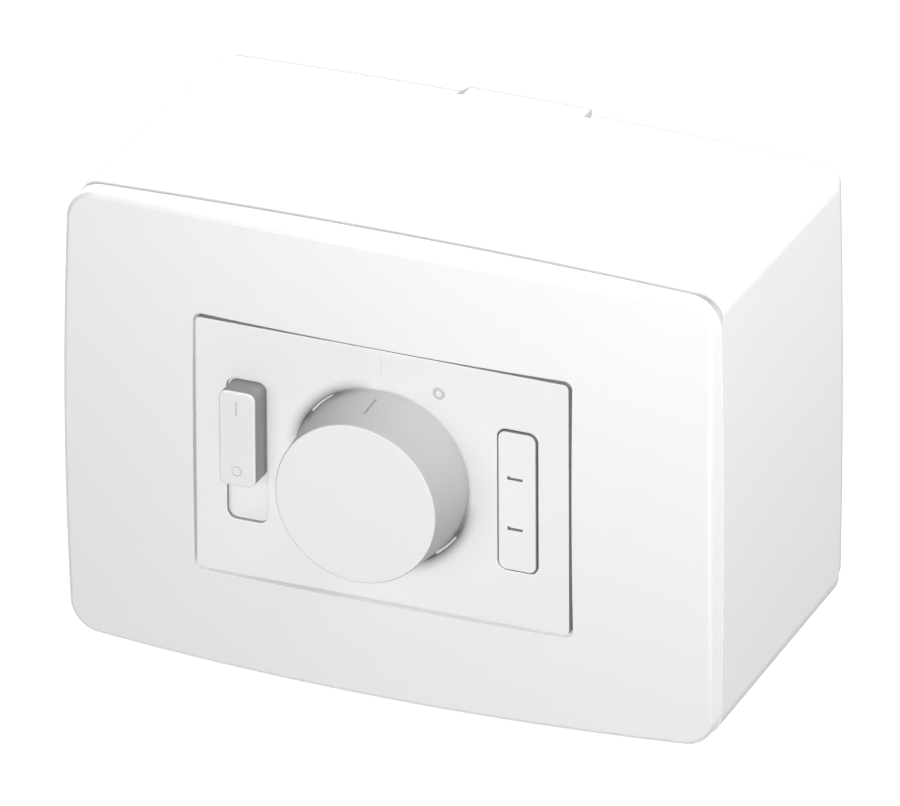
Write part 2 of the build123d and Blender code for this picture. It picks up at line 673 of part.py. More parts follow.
def switch_actuator():
    """Shutter that keeps the slit closed, with a tongue into the switch."""
    height = SLIT_HEIGHT + SLIDER_TRAVEL + 2 * SHUTTER_LAP
    middle = SLIT_MIDDLE + SLIDER_TRAVEL / 2
    plate = block(SWITCH_X, middle, SHUTTER_WIDTH, height, SHUTTER_BACK, SHUTTER_FRONT)
    socket_w = STEM_WIDTH + 2 * THREAD_GAP
    socket_h = STEM_HEIGHT + 2 * THREAD_GAP
    plate -= block(SWITCH_X, STEM_MIDDLE, socket_w, socket_h, SHUTTER_BACK, SHUTTER_FRONT)
    bridge_back = SHUTTER_BACK - STEM_GAP
    bridge = block(SWITCH_X, STEM_MIDDLE, SHUTTER_WIDTH, TONGUE_LENGTH, bridge_back, SHUTTER_BACK)
    tongue = block(
        SWITCH_X, STEM_MIDDLE, TONGUE_WIDTH, TONGUE_LENGTH, SHUTTER_BACK - TONGUE_DEPTH, SHUTTER_BACK
    )
    return plate + bridge + tongue


def slide_switch_body():
    """Switch on the board, with a channel for the tongue."""
    channel_w = TONGUE_WIDTH + 2 * STEM_GAP
    channel_h = TONGUE_LENGTH + SLIDER_TRAVEL + 2 * STEM_GAP
    length = channel_h + 2 * SWITCH_END_WALL
    body = block(SWITCH_X, SLIT_MIDDLE, SWITCH_WIDTH, length, BOARD_FRONT, SWITCH_FRONT)
    floor = SHUTTER_BACK - TONGUE_DEPTH - STEM_GAP
    return body - block(SWITCH_X, SLIT_MIDDLE, channel_w, channel_h, floor, SWITCH_FRONT)


# Circuit board and what it carries

def circuit_board():
    """Board behind the panel, drilled for its four screws."""
    board = block(0, 0, BOARD_WIDTH, BOARD_HEIGHT, BOARD_BACK, BOARD_FRONT)
    for side_x, side_y in CORNERS:
        hole = BOARD_SCREW_RADIUS + SCREW_HOLE_GAP
        board -= disc(side_x * BOSS_X, side_y * BOSS_Y, hole, BOARD_BACK, BOARD_FRONT)
    return board


def board_screws():
    """Four screws from behind the board into the panel's bosses."""
    one = Rot(180, 0, 0) * screw(BOARD_SCREW_RADIUS, BOARD_SCREW_LENGTH, 0)
    return [Pos(sx * BOSS_X, sy * BOSS_Y, BOARD_BACK) * one for sx, sy in CORNERS]


def terminal_places():
    """Middle of each pole of the terminal block."""
    first = TERMINAL_X - TERMINAL_PITCH * (TERMINAL_COUNT - 1) / 2
    return [first + TERMINAL_PITCH * pole for pole in range(TERMINAL_COUNT)]


def terminal_block():
    """Block with a wire entry and a screw well for each pole."""
    width = TERMINAL_PITCH * TERMINAL_COUNT + 2 * TERMINAL_WALL
    body = block(TERMINAL_X, TERMINAL_Y, width, TERMINAL_DEPTH, TERMINAL_BACK, BOARD_BACK)
    entry_y = TERMINAL_FOOT_Y + TERMINAL_ENTRY_DEPTH / 2
    for x in terminal_places():
        body -= block(x, entry_y, TERMINAL_ENTRY_WIDTH, TERMINAL_ENTRY_DEPTH, ENTRY_BOTTOM, ENTRY_TOP)
        body -= disc(x, CLAMP_Y, TERMINAL_HEAD_RADIUS + CLAMP_GAP, TERMINAL_BACK, ENTRY_BOTTOM)
    return body


def terminal_clamps():
    """Brass cage in each wire entry."""
    width = TERMINAL_ENTRY_WIDTH - 2 * CLAMP_GAP
    low = ENTRY_BOTTOM + CLAMP_GAP
    high = ENTRY_TOP
    clamps = []
    for x in terminal_places():
        cage = block(x, CLAMP_Y, width, CLAMP_LENGTH, low, high)
        cage -= block(x, CLAMP_Y, width - 2 * CLAMP_WALL, CLAMP_LENGTH, low + CLAMP_WALL, high - CLAMP_WALL)
        cage -= disc(x, CLAMP_Y, TERMINAL_SCREW_RADIUS + THREAD_GAP, low, low + CLAMP_WALL)
        clamps.append(cage)
    return clamps


def terminal_screws():
    """Screw above each clamp, with its head in the well."""
    length = 2 * CLAMP_WALL + TERMINAL_SCREW_RADIUS
    head_front = ENTRY_BOTTOM + CLAMP_GAP
    one = disc(0, 0, TERMINAL_SCREW_RADIUS, head_front, head_front + length)
    one += disc(0, 0, TERMINAL_HEAD_RADIUS, head_front - SCREW_HEAD_HEIGHT, head_front)
    slot_top = head_front - SCREW_HEAD_HEIGHT + SCREW_SLOT_DEPTH
    slot_bottom = head_front - SCREW_HEAD_HEIGHT
    one -= block(0, 0, 2 * TERMINAL_HEAD_RADIUS, SCREW_SLOT_WIDTH, slot_bottom, slot_top)
    return [Pos(x, CLAMP_Y, 0) * one for x in terminal_places()]


def choke_ring(inset):
    """Ring-shaped section of the choke, widened all round by an inset."""
    low = BOARD_BACK - WINDING_WIRE - WINDING_GAP - CHOKE_THICKNESS - inset
    high = BOARD_BACK - WINDING_WIRE - WINDING_GAP + inset
    return Pos(CHOKE_X, CHOKE_Y, 0) * ring(CHOKE_OUTER + inset, CHOKE_INNER - inset, low, high)


def choke_core():
    """Plain ferrite ring."""
    return choke_ring(0)


def choke_winding():
    """Layer of wire round the core, open where the two ends leave it."""
    outside = choke_ring(WINDING_GAP + WINDING_WIRE)
    low = outside.bounding_box().min.Z
    high = outside.bounding_box().max.Z
    gap = wedge(WINDING_OPENING, 4 * CHOKE_OUTER, low, high)
    return outside - choke_ring(WINDING_GAP) - Pos(CHOKE_X, CHOKE_Y, 0) * gap


def film_capacitors():
    """Two box-shaped capacitors on the board."""
    case = block(0, 0, CAPACITOR_LENGTH, CAPACITOR_WIDTH, BOARD_BACK - CAPACITOR_HEIGHT, BOARD_BACK)
    case = fillet(case.edges().filter_by(Axis.Z), CAPACITOR_ROUND)
    level = Pos(LEVEL_CAPACITOR_X, LEVEL_CAPACITOR_Y, 0) * case
    upright = Pos(UPRIGHT_CAPACITOR_X, UPRIGHT_CAPACITOR_Y, 0) * Rot(0, 0, 90) * case
    return [level, upright]


def fuse():
    """Glass cartridge fuse with a cap at each end, lying along the board."""
    level = BOARD_BACK - FUSE_ABOVE_BOARD
    half = FUSE_LENGTH / 2
    shoulder = half - FUSE_CAP_LENGTH
    profile = Polyline(
        (-half, 0),
        (-half, FUSE_RADIUS),
        (-shoulder, FUSE_RADIUS),
        (-shoulder, FUSE_GLASS_RADIUS),
        (shoulder, FUSE_GLASS_RADIUS),
        (shoulder, FUSE_RADIUS),
        (half, FUSE_RADIUS),
        (half, 0),
        close=True,
    )
    return Pos(FUSE_X, FUSE_Y, level) * revolve(make_face(profile), Axis.X)


def fuse_clips():
    """Two forked clips that hold the fuse by its caps."""
    inner = FUSE_RADIUS + THREAD_GAP
    outer = inner + CLIP_SHEET
    low = BOARD_BACK - FUSE_ABOVE_BOARD - FUSE_RADIUS / 2
    clips = []
    for side in (-1, 1):
        x = FUSE_X + side * (FUSE_LENGTH - FUSE_CAP_LENGTH) / 2
        clip = block(x, FUSE_Y, CLIP_LENGTH, 2 * outer, low, BOARD_BACK)
        clip -= block(x, FUSE_Y, CLIP_LENGTH, 2 * inner, low, BOARD_BACK - CLIP_SHEET)
        clips.append(clip)
    return clips


def heat_sink():
    """Finned aluminium plate that stands on the board."""
    low = BOARD_BACK - SINK_HEIGHT
    base_y = SINK_Y + SINK_SHEET / 2
    sink = block(SINK_X, base_y, SINK_WIDTH, SINK_SHEET, low, BOARD_BACK)
    fin_y = SINK_Y + (SINK_SHEET + SINK_FIN_LENGTH) / 2
    pitch = (SINK_WIDTH - SINK_SHEET) / (SINK_FINS - 1)
    for fin in range(SINK_FINS):
        x = SINK_X - (SINK_WIDTH - SINK_SHEET) / 2 + fin * pitch
        if fin != SINK_FINS // 2:
            sink += block(x, fin_y, SINK_SHEET, SINK_FIN_LENGTH + SINK_SHEET, low, BOARD_BACK)
    return sink - sink_hole(SINK_SHEET, 1)


def sink_hole(depth, direction):
    """Round hole through the sink or the triac's tab, along Y."""
    level = BOARD_BACK - SINK_SCREW_LEVEL
    plane = Plane((SINK_X, SINK_Y, level), x_dir=(1, 0, 0), z_dir=(0, direction, 0))
    return extrude(plane * Circle(FRAME_SCREW_RADIUS + THREAD_GAP), depth)


def triac():
    """Power switch with a metal tab against the sink and three leads."""
    body_high = BOARD_BACK - TRIAC_ABOVE_BOARD
    body_low = body_high - TRIAC_BODY_HEIGHT
    tab_low = BOARD_BACK - SINK_HEIGHT
    tab_y = SINK_Y - TRIAC_TAB / 2
    device = block(SINK_X, tab_y, TRIAC_WIDTH, TRIAC_TAB, tab_low, body_high)
    device += block(SINK_X, SINK_Y - TRIAC_BODY / 2, TRIAC_WIDTH, TRIAC_BODY, body_low, body_high)
    for lead in (-1, 0, 1):
        x = SINK_X + lead * TRIAC_LEAD_PITCH
        device += block(x, SINK_Y - TRIAC_BODY / 2, LEAD, LEAD, body_high, BOARD_BACK)
    return device - sink_hole(TRIAC_TAB, -1)


def heat_sink_screw():
    """Screw through the triac's tab into the sink."""
    one = screw(FRAME_SCREW_RADIUS, SINK_SHEET + TRIAC_TAB, 0)
    level = BOARD_BACK - SINK_SCREW_LEVEL
    return Pos(SINK_X, SINK_Y - TRIAC_TAB, level) * Rot(90, 0, 0) * one


def resistors():
    """Row of small axial resistors that stand off the board on their leads."""
    level = BOARD_BACK - RESISTOR_ABOVE_BOARD
    span = RESISTOR_LENGTH + 2 * LEAD
    body = Rot(90, 0, 0) * Cylinder(RESISTOR_RADIUS, RESISTOR_LENGTH)
    body += Box(LEAD, span + 2 * LEAD, LEAD)
    for side in (-1, 1):
        leg = Box(LEAD, LEAD, RESISTOR_ABOVE_BOARD, align=(Align.CENTER, Align.CENTER, Align.MIN))
        body += Pos(0, side * (span + LEAD) / 2, 0) * leg
    first = RESISTOR_X - RESISTOR_PITCH * (RESISTOR_COUNT - 1) / 2
    places = [first + RESISTOR_PITCH * index for index in range(RESISTOR_COUNT)]
    return [Pos(x, RESISTOR_Y, level) * body for x in places]


PIECES = {
    "wall_box": wall_box,
    "cover_plate": cover_plate,
    "support_frame": support_frame,
    "frame_screws": frame_screws,
    "control_panel": control_panel,
    "blank_plug": blank_plug,
    "knob": knob,
    "knob_clip": knob_clip,
    "control_shaft": control_shaft,
    "potentiometer_body": potentiometer_body,
    "bushing": bushing,
    "bushing_washer": bushing_washer,
    "bushing_nut": bushing_nut,
    "switch_slider": switch_slider,
    "switch_actuator": switch_actuator,
    "slide_switch_body": slide_switch_body,
    "circuit_board": circuit_board,
    "board_screws": board_screws,
    "terminal_block": terminal_block,
    "terminal_clamps": terminal_clamps,
    "terminal_screws": terminal_screws,
    "choke_core": choke_core,
    "choke_winding": choke_winding,
    "film_capacitors": film_capacitors,
    "fuse": fuse,
    "fuse_clips": fuse_clips,
    "heat_sink": heat_sink,
    "triac": triac,
    "heat_sink_screw": heat_sink_screw,
    "resistors": resistors,
}


def main():
    """Build every piece and write it to its own file."""
    os.makedirs("parts", exist_ok=True)
    for name, make in PIECES.items():
        made = make()
        group = made if isinstance(made, list) else [made]
        solids = [solid for piece in group for solid in placed(piece).solids()]
        shape = solids[0] if len(solids) == 1 else Compound(children=solids)
        export_step(shape, f"parts/{name}.step")


main()
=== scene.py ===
from math import cos, pi, radians, sin, tau

import bpy
from bpy.props import FloatProperty, FloatVectorProperty, IntProperty, PointerProperty
from mathutils import Matrix, Vector


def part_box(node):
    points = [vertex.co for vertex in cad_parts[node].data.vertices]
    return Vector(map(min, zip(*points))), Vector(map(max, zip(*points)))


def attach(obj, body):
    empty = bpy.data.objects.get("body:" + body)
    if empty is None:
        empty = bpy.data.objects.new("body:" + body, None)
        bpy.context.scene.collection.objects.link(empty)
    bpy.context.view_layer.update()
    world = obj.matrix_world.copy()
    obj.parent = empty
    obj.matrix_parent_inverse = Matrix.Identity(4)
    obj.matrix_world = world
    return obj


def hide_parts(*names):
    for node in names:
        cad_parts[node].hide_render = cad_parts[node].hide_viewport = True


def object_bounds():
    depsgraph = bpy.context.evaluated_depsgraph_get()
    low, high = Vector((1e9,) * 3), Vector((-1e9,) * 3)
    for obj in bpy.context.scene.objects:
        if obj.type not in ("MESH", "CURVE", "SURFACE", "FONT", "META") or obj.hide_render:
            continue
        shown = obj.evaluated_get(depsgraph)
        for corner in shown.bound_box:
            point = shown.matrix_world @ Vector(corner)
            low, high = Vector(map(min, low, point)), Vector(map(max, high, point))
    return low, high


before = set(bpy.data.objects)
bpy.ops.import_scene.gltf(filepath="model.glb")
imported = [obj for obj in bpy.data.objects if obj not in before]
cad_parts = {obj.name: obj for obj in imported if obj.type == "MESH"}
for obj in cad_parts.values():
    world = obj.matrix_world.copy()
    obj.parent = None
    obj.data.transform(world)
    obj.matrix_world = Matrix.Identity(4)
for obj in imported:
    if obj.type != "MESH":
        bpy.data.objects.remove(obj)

bl_info = {
    "name": "Fan control unit",
    "version": (1, 0, 0),
    "blender": (4, 5, 0),
    "location": "3D View > Sidebar > Fan control",
    "description": "Finishes, marks and studio for a surface-mounted fan control unit",
    "category": "Object",
}

MM = 0.001
CAD_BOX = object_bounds()

# Picture and sensor that the camera's place is worked out for
IMAGE_WIDTH = 900
IMAGE_HEIGHT = 806
SENSOR = 36.0

# Packed boxes that the finishes and the marks are placed by
BOX_LOW, BOX_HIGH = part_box("wall_box")
PLATE_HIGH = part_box("cover_plate")[1]
PANEL_LOW, PANEL_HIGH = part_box("control_panel")
PLUG_LOW, PLUG_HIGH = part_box("blank_plug")
KNOB_LOW, KNOB_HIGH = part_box("knob")
SLIDER_LOW, SLIDER_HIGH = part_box("switch_slider")

# In what follows a FADE is the two places between which a tone comes in or goes out

# Wall box: where painted shade goes on its front edge, from which a lip goes into the plate, its
# rear edge and its pads
BOX_LIP = 2.4 * MM
BOX_FRONT = BOX_LOW.y + BOX_LIP
EDGE_SHADE = 4.0 * MM
UPPER_EDGE_SHADE = 0.45 * MM
SIDE_FADE = (BOX_HIGH.x - 2.5 * MM, BOX_HIGH.x - 0.8 * MM)
TOP_FADE = (35.0 * MM, 37.0 * MM)
LEFT_FADE = (BOX_LOW.x + 1.5 * MM, BOX_LOW.x + 2.1 * MM)
ARRIS_FADE = (-0.5 * MM, -0.3 * MM)
RIM_FADE = (-3.45 * MM, -3.35 * MM)
RAISED_FADE = (40.0 * MM, 40.1 * MM)
BOX_RISE = 0.5 * MM
PAD_HALF = 11.0 * MM
PAD_SLOPE = 1.3 * MM

# Cover plate: its rim, which carries a painted highlight, and the rounded window round the panel,
# whose walls carry painted shade
PLATE_RIM_HIGHLIGHT_FADE = (PLATE_HIGH.x - 1.0 * MM, PLATE_HIGH.x - 0.4 * MM)
WINDOW_HALF_WIDTH = PANEL_HIGH.x + 0.5 * MM
WINDOW_HALF_HEIGHT = PANEL_HIGH.z + 0.5 * MM
WINDOW_CORNER = 1.5 * MM
WINDOW_FADE = (WINDOW_CORNER + 0.03 * MM, WINDOW_CORNER + 0.08 * MM)

# Control panel: painted shade on its outer walls, less of it at the middle of the upper one, and on
# its pockets' walls
PANEL_FACE = PANEL_LOW.y
FACE_FADE = (PANEL_FACE + 0.02 * MM, PANEL_FACE + 0.08 * MM)
FLANK_FADE = (PANEL_HIGH.x - 0.4 * MM, PANEL_HIGH.x - 0.3 * MM)
UPPER_FADE = (PANEL_HIGH.z - 0.4 * MM, PANEL_HIGH.z - 0.3 * MM)
MIDDLE_FADE = (8.0 * MM, 24.0 * MM)
POCKET_WALLS = (PANEL_FACE + 0.12 * MM, PANEL_FACE + 1.04 * MM)

# Blank plug: its rounded outline and its two grooves, where painted shade goes
PLUG_X = (PLUG_LOW.x + PLUG_HIGH.x) / 2
PLUG_HALF_WIDTH = 3.5 * MM
PLUG_HALF_HEIGHT = 12.9 * MM
PLUG_CORNER = 1.5 * MM
BORDER_FADE = (PLUG_CORNER - 0.22 * MM, PLUG_CORNER - 0.14 * MM)
GROOVES = (4.2 * MM, -5.1 * MM)
GROOVE_HALF = 0.5 * MM
GROOVE_DEPTH = (PLUG_LOW.y + 0.12 * MM, PANEL_FACE + 9.0 * MM)
GROOVE_LEFT_FADE = (PLUG_X - 1.5 * MM, PLUG_X - 1.4 * MM)

# Knob: its front, the radii of its tapered side, the recess that it turns in and the painted shade
# round it, its index line
KNOB_FACE = KNOB_LOW.y
KNOB_FRONT = 14.5 * MM
KNOB_BASE = 15.5 * MM
KNOB_RECESS = (KNOB_HIGH.x - KNOB_LOW.x) / 2 + 0.6 * MM
BESIDE_FADE = (KNOB_RECESS + 0.1 * MM, KNOB_RECESS + 0.3 * MM)
CONTACT_FADE = (KNOB_RECESS, KNOB_RECESS + 2.4 * MM)
RECESS_FLOOR = (KNOB_RECESS - 0.42 * MM, KNOB_RECESS - 0.08 * MM)
INDEX_SPAN = (KNOB_FACE + 3.0 * MM, PANEL_FACE - 1.0 * MM)
INDEX_CUT = (0.04 * MM, 0.6 * MM)

# Slider: its front and its middle
SLIDER_FACE = SLIDER_LOW.y
SLIDER_X = (SLIDER_LOW.x + SLIDER_HIGH.x) / 2

# Raised marks: how many times the relief each bead stands above its surface
TICK_RISE = 0.5
RING_RISE = 1.5
SLIDER_MARK_RISE = 1.0

# Winding and threads: the wire's share of its room, the gap left at the bottom, the thread's form
WIRE_SHARE = 0.88
LOOP_ROOM = 1.1
WINDING_GAP = radians(60)
THREAD_PITCH = 1.1 * MM
THREAD_SUNK = 0.05 * MM
THREAD_RIDGE = 0.13 * MM

# Sides and steps of round sections and paths
BEAD_SIDES = 20
RING_STEPS = 72
WIRE_SIDES = 10
WINDING_STEPS = 180
THREAD_SIDES = 6
THREAD_STEPS = 24

# Pieces that keep their shadows off each other under the key lamp
UNSHADED = ("knob", "switch_slider", "cover_plate", "control_panel", "blank_plug")

# Lamps: name, direction from the panel's face, distance and side in metres, power's setting
LAMPS = (
    ("Key lamp", (0.50, -0.53, 0.684), 0.6, 0.4, "key"),
    ("Fill lamp", (-0.28, -0.95, 0.08), 0.7, 0.5, "fill"),
    ("Top lamp", (0.44, 0.54, 0.72), 0.6, 0.3, "top"),
    ("Back lamp", (-0.75, 0.6, 0.25), 0.6, 0.4, "back"),
)
FLOOR_HALF = 4.0
FLOOR_GLOW = 0.88

# Kinds of node that come up most
MATH = "ShaderNodeMath"
RANGE = "ShaderNodeMapRange"
MIX = "ShaderNodeMix"
NOISE = "ShaderNodeTexNoise"
CELLS = "ShaderNodeTexVoronoi"


def linear(code):
    """Turn an sRGB hex code such as #F2F2F0 into a linear colour with alpha."""
    channels = [int(code[i:i + 2], 16) / 255 for i in (1, 3, 5)]
    flat = [c / 12.92 if c <= 0.04045 else ((c + 0.055) / 1.055) ** 2.4 for c in channels]
    return flat + [1.0]


def colour(name, code, description):
    """A colour property that starts at an sRGB hex code."""
    return FloatVectorProperty(
        name=name, description=description, subtype="COLOR", size=4, min=0, max=1,
        default=linear(code),
    )


def length(name, value, description):
    """A length property in metres that starts at a size in millimetres."""
    return FloatProperty(
        name=name, description=description, default=value * MM, min=0, unit="LENGTH",
        precision=5,
    )


# What a user may change

class FanControlMarks(bpy.types.PropertyGroup):
    """Sizes and places of the raised marks."""

    relief: length("Relief", 0.07, "How far the slider's marks stand above it; others follow")
    tick_low: length("Tick start", 18.7, "Height of the tick's lower end above the knob's axis")
    tick_high: length("Tick end", 22.1, "Height of the tick's upper end above the knob's axis")
    tick_width: length("Tick width", 0.3, "Width of the tick")
    ring_x: length("Ring to the right", 10.4, "Place of the off ring beside the knob's axis")
    ring_z: length("Ring up", 17.4, "Place of the off ring above the knob's axis")
    ring_radius: length("Ring radius", 0.82, "Radius of the off ring, at the middle of its bead")
    ring_width: length("Ring bead", 0.6, "Width of the off ring's bead")
    bar_low: length("Bar start", 8.4, "Height of the bar's lower end above the knob's axis")
    bar_high: length("Bar end", 11.0, "Height of the bar's upper end above the knob's axis")
    bar_width: length("Bar width", 0.3, "Width of the slider's bar")
    circle_drop: length("Circle below", 1.87, "Drop of the slider's circle below the knob's axis")
    circle_radius: length("Circle radius", 0.82, "Radius of the circle, at the middle of its bead")
    circle_width: length("Circle bead", 0.22, "Width of the slider's circle")


class FanControlColours(bpy.types.PropertyGroup):
    """Colours of the parts that show, and of the painted shade on their walls, sides and edges."""

    box: colour("Wall box", "#F2F2F1", "Wall box")
    plate: colour("Cover plate", "#F1F1F0", "Cover plate")
    panel: colour("Control panel", "#EFEFEE", "Control panel and blank plug")
    # Painted shade: on the panel's walls and its pockets' walls, on the plug's sides and grooves,
    # and on the box's edges behind the cover plate
    panel_wall_shade: colour("Panel sides", "#828281", "Walls of the panel and of its pockets")
    plug_side_shade: colour("Plug sides", "#6E6E6D", "Sides and grooves of the blank plug")
    joint_shade: colour("Joint", "#BDBDBD", "Shaded edge of the box behind the cover plate")
    knob_face: colour("Knob face", "#EDEDEC", "Flat front of the knob")
    # Painted shade on the knob's tapered side
    knob_side_shade: colour("Knob side", "#C0C0BF", "Tapered side of the knob")
    slider_face: colour("Slider face", "#E9E9E8", "Front face of the slider")
    # Painted shade on the slider's sides, behind its front face
    slider_side_shade: colour("Slider side", "#929291", "Sides of the slider, in painted shade")
    mark: colour("Marks", "#CACAC9", "Raised marks")


class FanControlStudio(bpy.types.PropertyGroup):
    """Camera and light."""

    azimuth: FloatProperty(
        name="Azimuth", description="Camera to the right of the front", subtype="ANGLE",
        default=radians(23.35), soft_min=-pi, soft_max=pi,
    )
    elevation: FloatProperty(
        name="Elevation", description="Camera above the horizon", subtype="ANGLE",
        default=radians(26.5), soft_min=-pi / 2, soft_max=pi / 2,
    )
    roll: FloatProperty(
        name="Roll", description="Turn of the picture, anticlockwise", subtype="ANGLE",
        default=radians(0.26), soft_min=-pi, soft_max=pi,
    )
    scale: FloatProperty(
        name="Scale", description="Picture elements for a millimetre at the panel's face",
        default=6.018, min=0.1,
    )
    panel_x: FloatProperty(
        name="Panel across", description="Picture column of the middle of the panel's face",
        default=382.0,
    )
    panel_y: FloatProperty(
        name="Panel down", description="Picture row of the middle of the panel's face",
        default=476.25,
    )
    lens: FloatProperty(
        name="Lens", description="Focal length, long enough for a nearly parallel view",
        default=1500.0, min=1, subtype="DISTANCE_CAMERA",
    )
    ambient: FloatProperty(
        name="Ambient", description="Even light from all sides", default=0.06, min=0
    )
    key: FloatProperty(
        name="Key", description="Power of the lamp at the upper right", subtype="POWER",
        default=3.65, min=0,
    )
    fill: FloatProperty(
        name="Fill", description="Power of the lamp in front", subtype="POWER",
        default=1.7, min=0,
    )
    top: FloatProperty(
        name="Top", description="Power of the lamp behind and above", subtype="POWER",
        default=2.75, min=0,
    )
    back: FloatProperty(
        name="Back", description="Power of the lamp behind and to the left", subtype="POWER",
        default=1.6, min=0,
    )
    floor_drop: FloatProperty(
        name="Floor", description="Depth of the floor below the unit", unit="LENGTH",
        default=0.45, min=0,
    )


# Small helpers

def add_node(tree, kind, inputs=(), **settings):
    """Add a node with its settings and inputs.

    Inputs stand in the node's own order, or in a dict by name or number. Each is a value, a socket
    that feeds it, or a node that feeds it by its first output.
    """
    node = tree.nodes.new(kind)
    for name, value in settings.items():
        setattr(node, name, value)
    for key, value in inputs.items() if isinstance(inputs, dict) else enumerate(inputs):
        if isinstance(value, bpy.types.Node):
            value = value.outputs[0]
        if isinstance(value, bpy.types.NodeSocket):
            tree.links.new(value, node.inputs[key])
        else:
            node.inputs[key].default_value = value
    return node


def new_material(name):
    """An empty material: the material, its tree and the place on the piece in metres."""
    material = bpy.data.materials.new(name)
    material.use_nodes = True
    tree = material.node_tree
    tree.nodes.clear()
    place = add_node(tree, "ShaderNodeTexCoord").outputs["Object"]
    return material, tree, place


def close_material(tree, inputs):
    """Give a material its surface shader, with what feeds it."""
    shader = add_node(tree, "ShaderNodeBsdfPrincipled", inputs)
    add_node(tree, "ShaderNodeOutputMaterial", {"Surface": shader})
    return shader


def coordinates(tree):
    """The three coordinates of the place on the piece."""
    place = add_node(tree, "ShaderNodeTexCoord").outputs["Object"]
    return add_node(tree, "ShaderNodeSeparateXYZ", {"Vector": place}).outputs


def away_from(tree, value, middle):
    """Distance of a coordinate from a middle, on either side."""
    offset = add_node(tree, MATH, (value, middle), operation="SUBTRACT")
    return add_node(tree, MATH, (offset,), operation="ABSOLUTE")


def overlap(tree, *masks):
    """Where all of several masks hold."""
    result = masks[0]
    for mask in masks[1:]:
        result = add_node(tree, MATH, (result, mask), operation="MULTIPLY")
    return result


def band(tree, level, near, far):
    """1 where a coordinate lies between two places, and 0 elsewhere."""
    soft = 0.03 * MM
    start = add_node(tree, RANGE, (level, near - soft, near + soft, 0.0, 1.0))
    end = add_node(tree, RANGE, (level, far - soft, far + soft, 1.0, 0.0))
    return overlap(tree, start, end)


def axis_distance(tree, place):
    """Distance from the knob's axis."""
    flat = add_node(tree, "ShaderNodeCombineXYZ", {"X": place["X"], "Z": place["Z"]})
    return add_node(tree, "ShaderNodeVectorMath", (flat,), operation="LENGTH").outputs["Value"]


def rounded_distance(tree, place, middle, half_width, half_height, corner):
    """Distance from the core of a rounded rectangle: on its outline, the corner's radius."""
    past = []
    for key, centre, half in (("X", middle, half_width), ("Z", 0.0, half_height)):
        away = away_from(tree, place[key], centre)
        beyond = add_node(tree, MATH, (away, half - corner), operation="SUBTRACT")
        past.append(add_node(tree, MATH, (beyond, 0.0), operation="MAXIMUM"))
    flat = add_node(tree, "ShaderNodeCombineXYZ", {"X": past[0], "Y": past[1]})
    return add_node(tree, "ShaderNodeVectorMath", (flat,), operation="LENGTH").outputs["Value"]


def over(tree, shader, amount, tone):
    """Lay a tone over the surface by an amount."""
    skin = shader.inputs["Base Color"].links[0].from_socket
    mix = add_node(tree, MIX, {0: amount, 6: skin, 7: tone}, data_type="RGBA")
    tree.links.new(mix.outputs[2], shader.inputs["Base Color"])


def shade(share, paint):
    """A linear colour made darker to a share of itself."""
    return [c * share for c in paint[:3]] + [1.0]


def dress(node, material):
    """Give a CAD node one material."""
    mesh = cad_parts[node].data
    mesh.materials.clear()
    mesh.materials.append(material)


# Plastics

def moulded_plastic(name, paint, grain, roughness, ior=1.54, relief=0.004 * MM, flow=0.975):
    """Plastic from a textured steel mould: faint flow marks, and a grain that breaks the sheen."""
    material, tree, place = new_material(name)
    marks = add_node(tree, NOISE, {"Vector": place, "Scale": 1 / (28 * MM), "Detail": 3.0})
    skin = add_node(tree, MIX, {0: marks, 6: shade(flow, paint), 7: paint}, data_type="RGBA")
    # Grain of the mould's skin, drawn coarser than the real one so that it shows
    fine = add_node(tree, NOISE, {"Vector": place, "Scale": 1 / grain, "Detail": 2.0})
    sheen = add_node(tree, RANGE, (fine, 0.3, 0.7, roughness - 0.05, roughness + 0.05))
    dents = add_node(tree, "ShaderNodeBump", {"Height": fine, "Distance": relief})
    shader = close_material(tree, {
        "Base Color": skin.outputs[2], "Roughness": sheen, "IOR": ior, "Normal": dents,
    })
    return material, tree, shader


def plastic_with_painted_side_shade(name, front, rear, edge, blend, grain, roughness):
    """Plastic with a light front face and painted shade on all that lies behind it."""
    material, tree, shader = moulded_plastic(name, front, grain, roughness, flow=1.0)
    place = add_node(tree, "ShaderNodeTexCoord").outputs["Object"]
    marks = add_node(tree, NOISE, {"Vector": place, "Scale": 1 / (9 * MM), "Detail": 3.0})
    tone = add_node(tree, MIX, {0: marks, 6: shade(0.96, rear), 7: rear}, data_type="RGBA")
    behind = add_node(tree, RANGE, (coordinates(tree)["Y"], edge, edge + blend, 0.0, 1.0))
    over(tree, shader, behind, tone.outputs[2])
    # What lies behind the front, in painted shade, reflects next to nothing
    gloss = add_node(tree, RANGE, (behind, 0.0, 1.0, 0.5, 0.05))
    tree.links.new(gloss.outputs[0], shader.inputs["Specular IOR Level"])
    return material, tree, shader


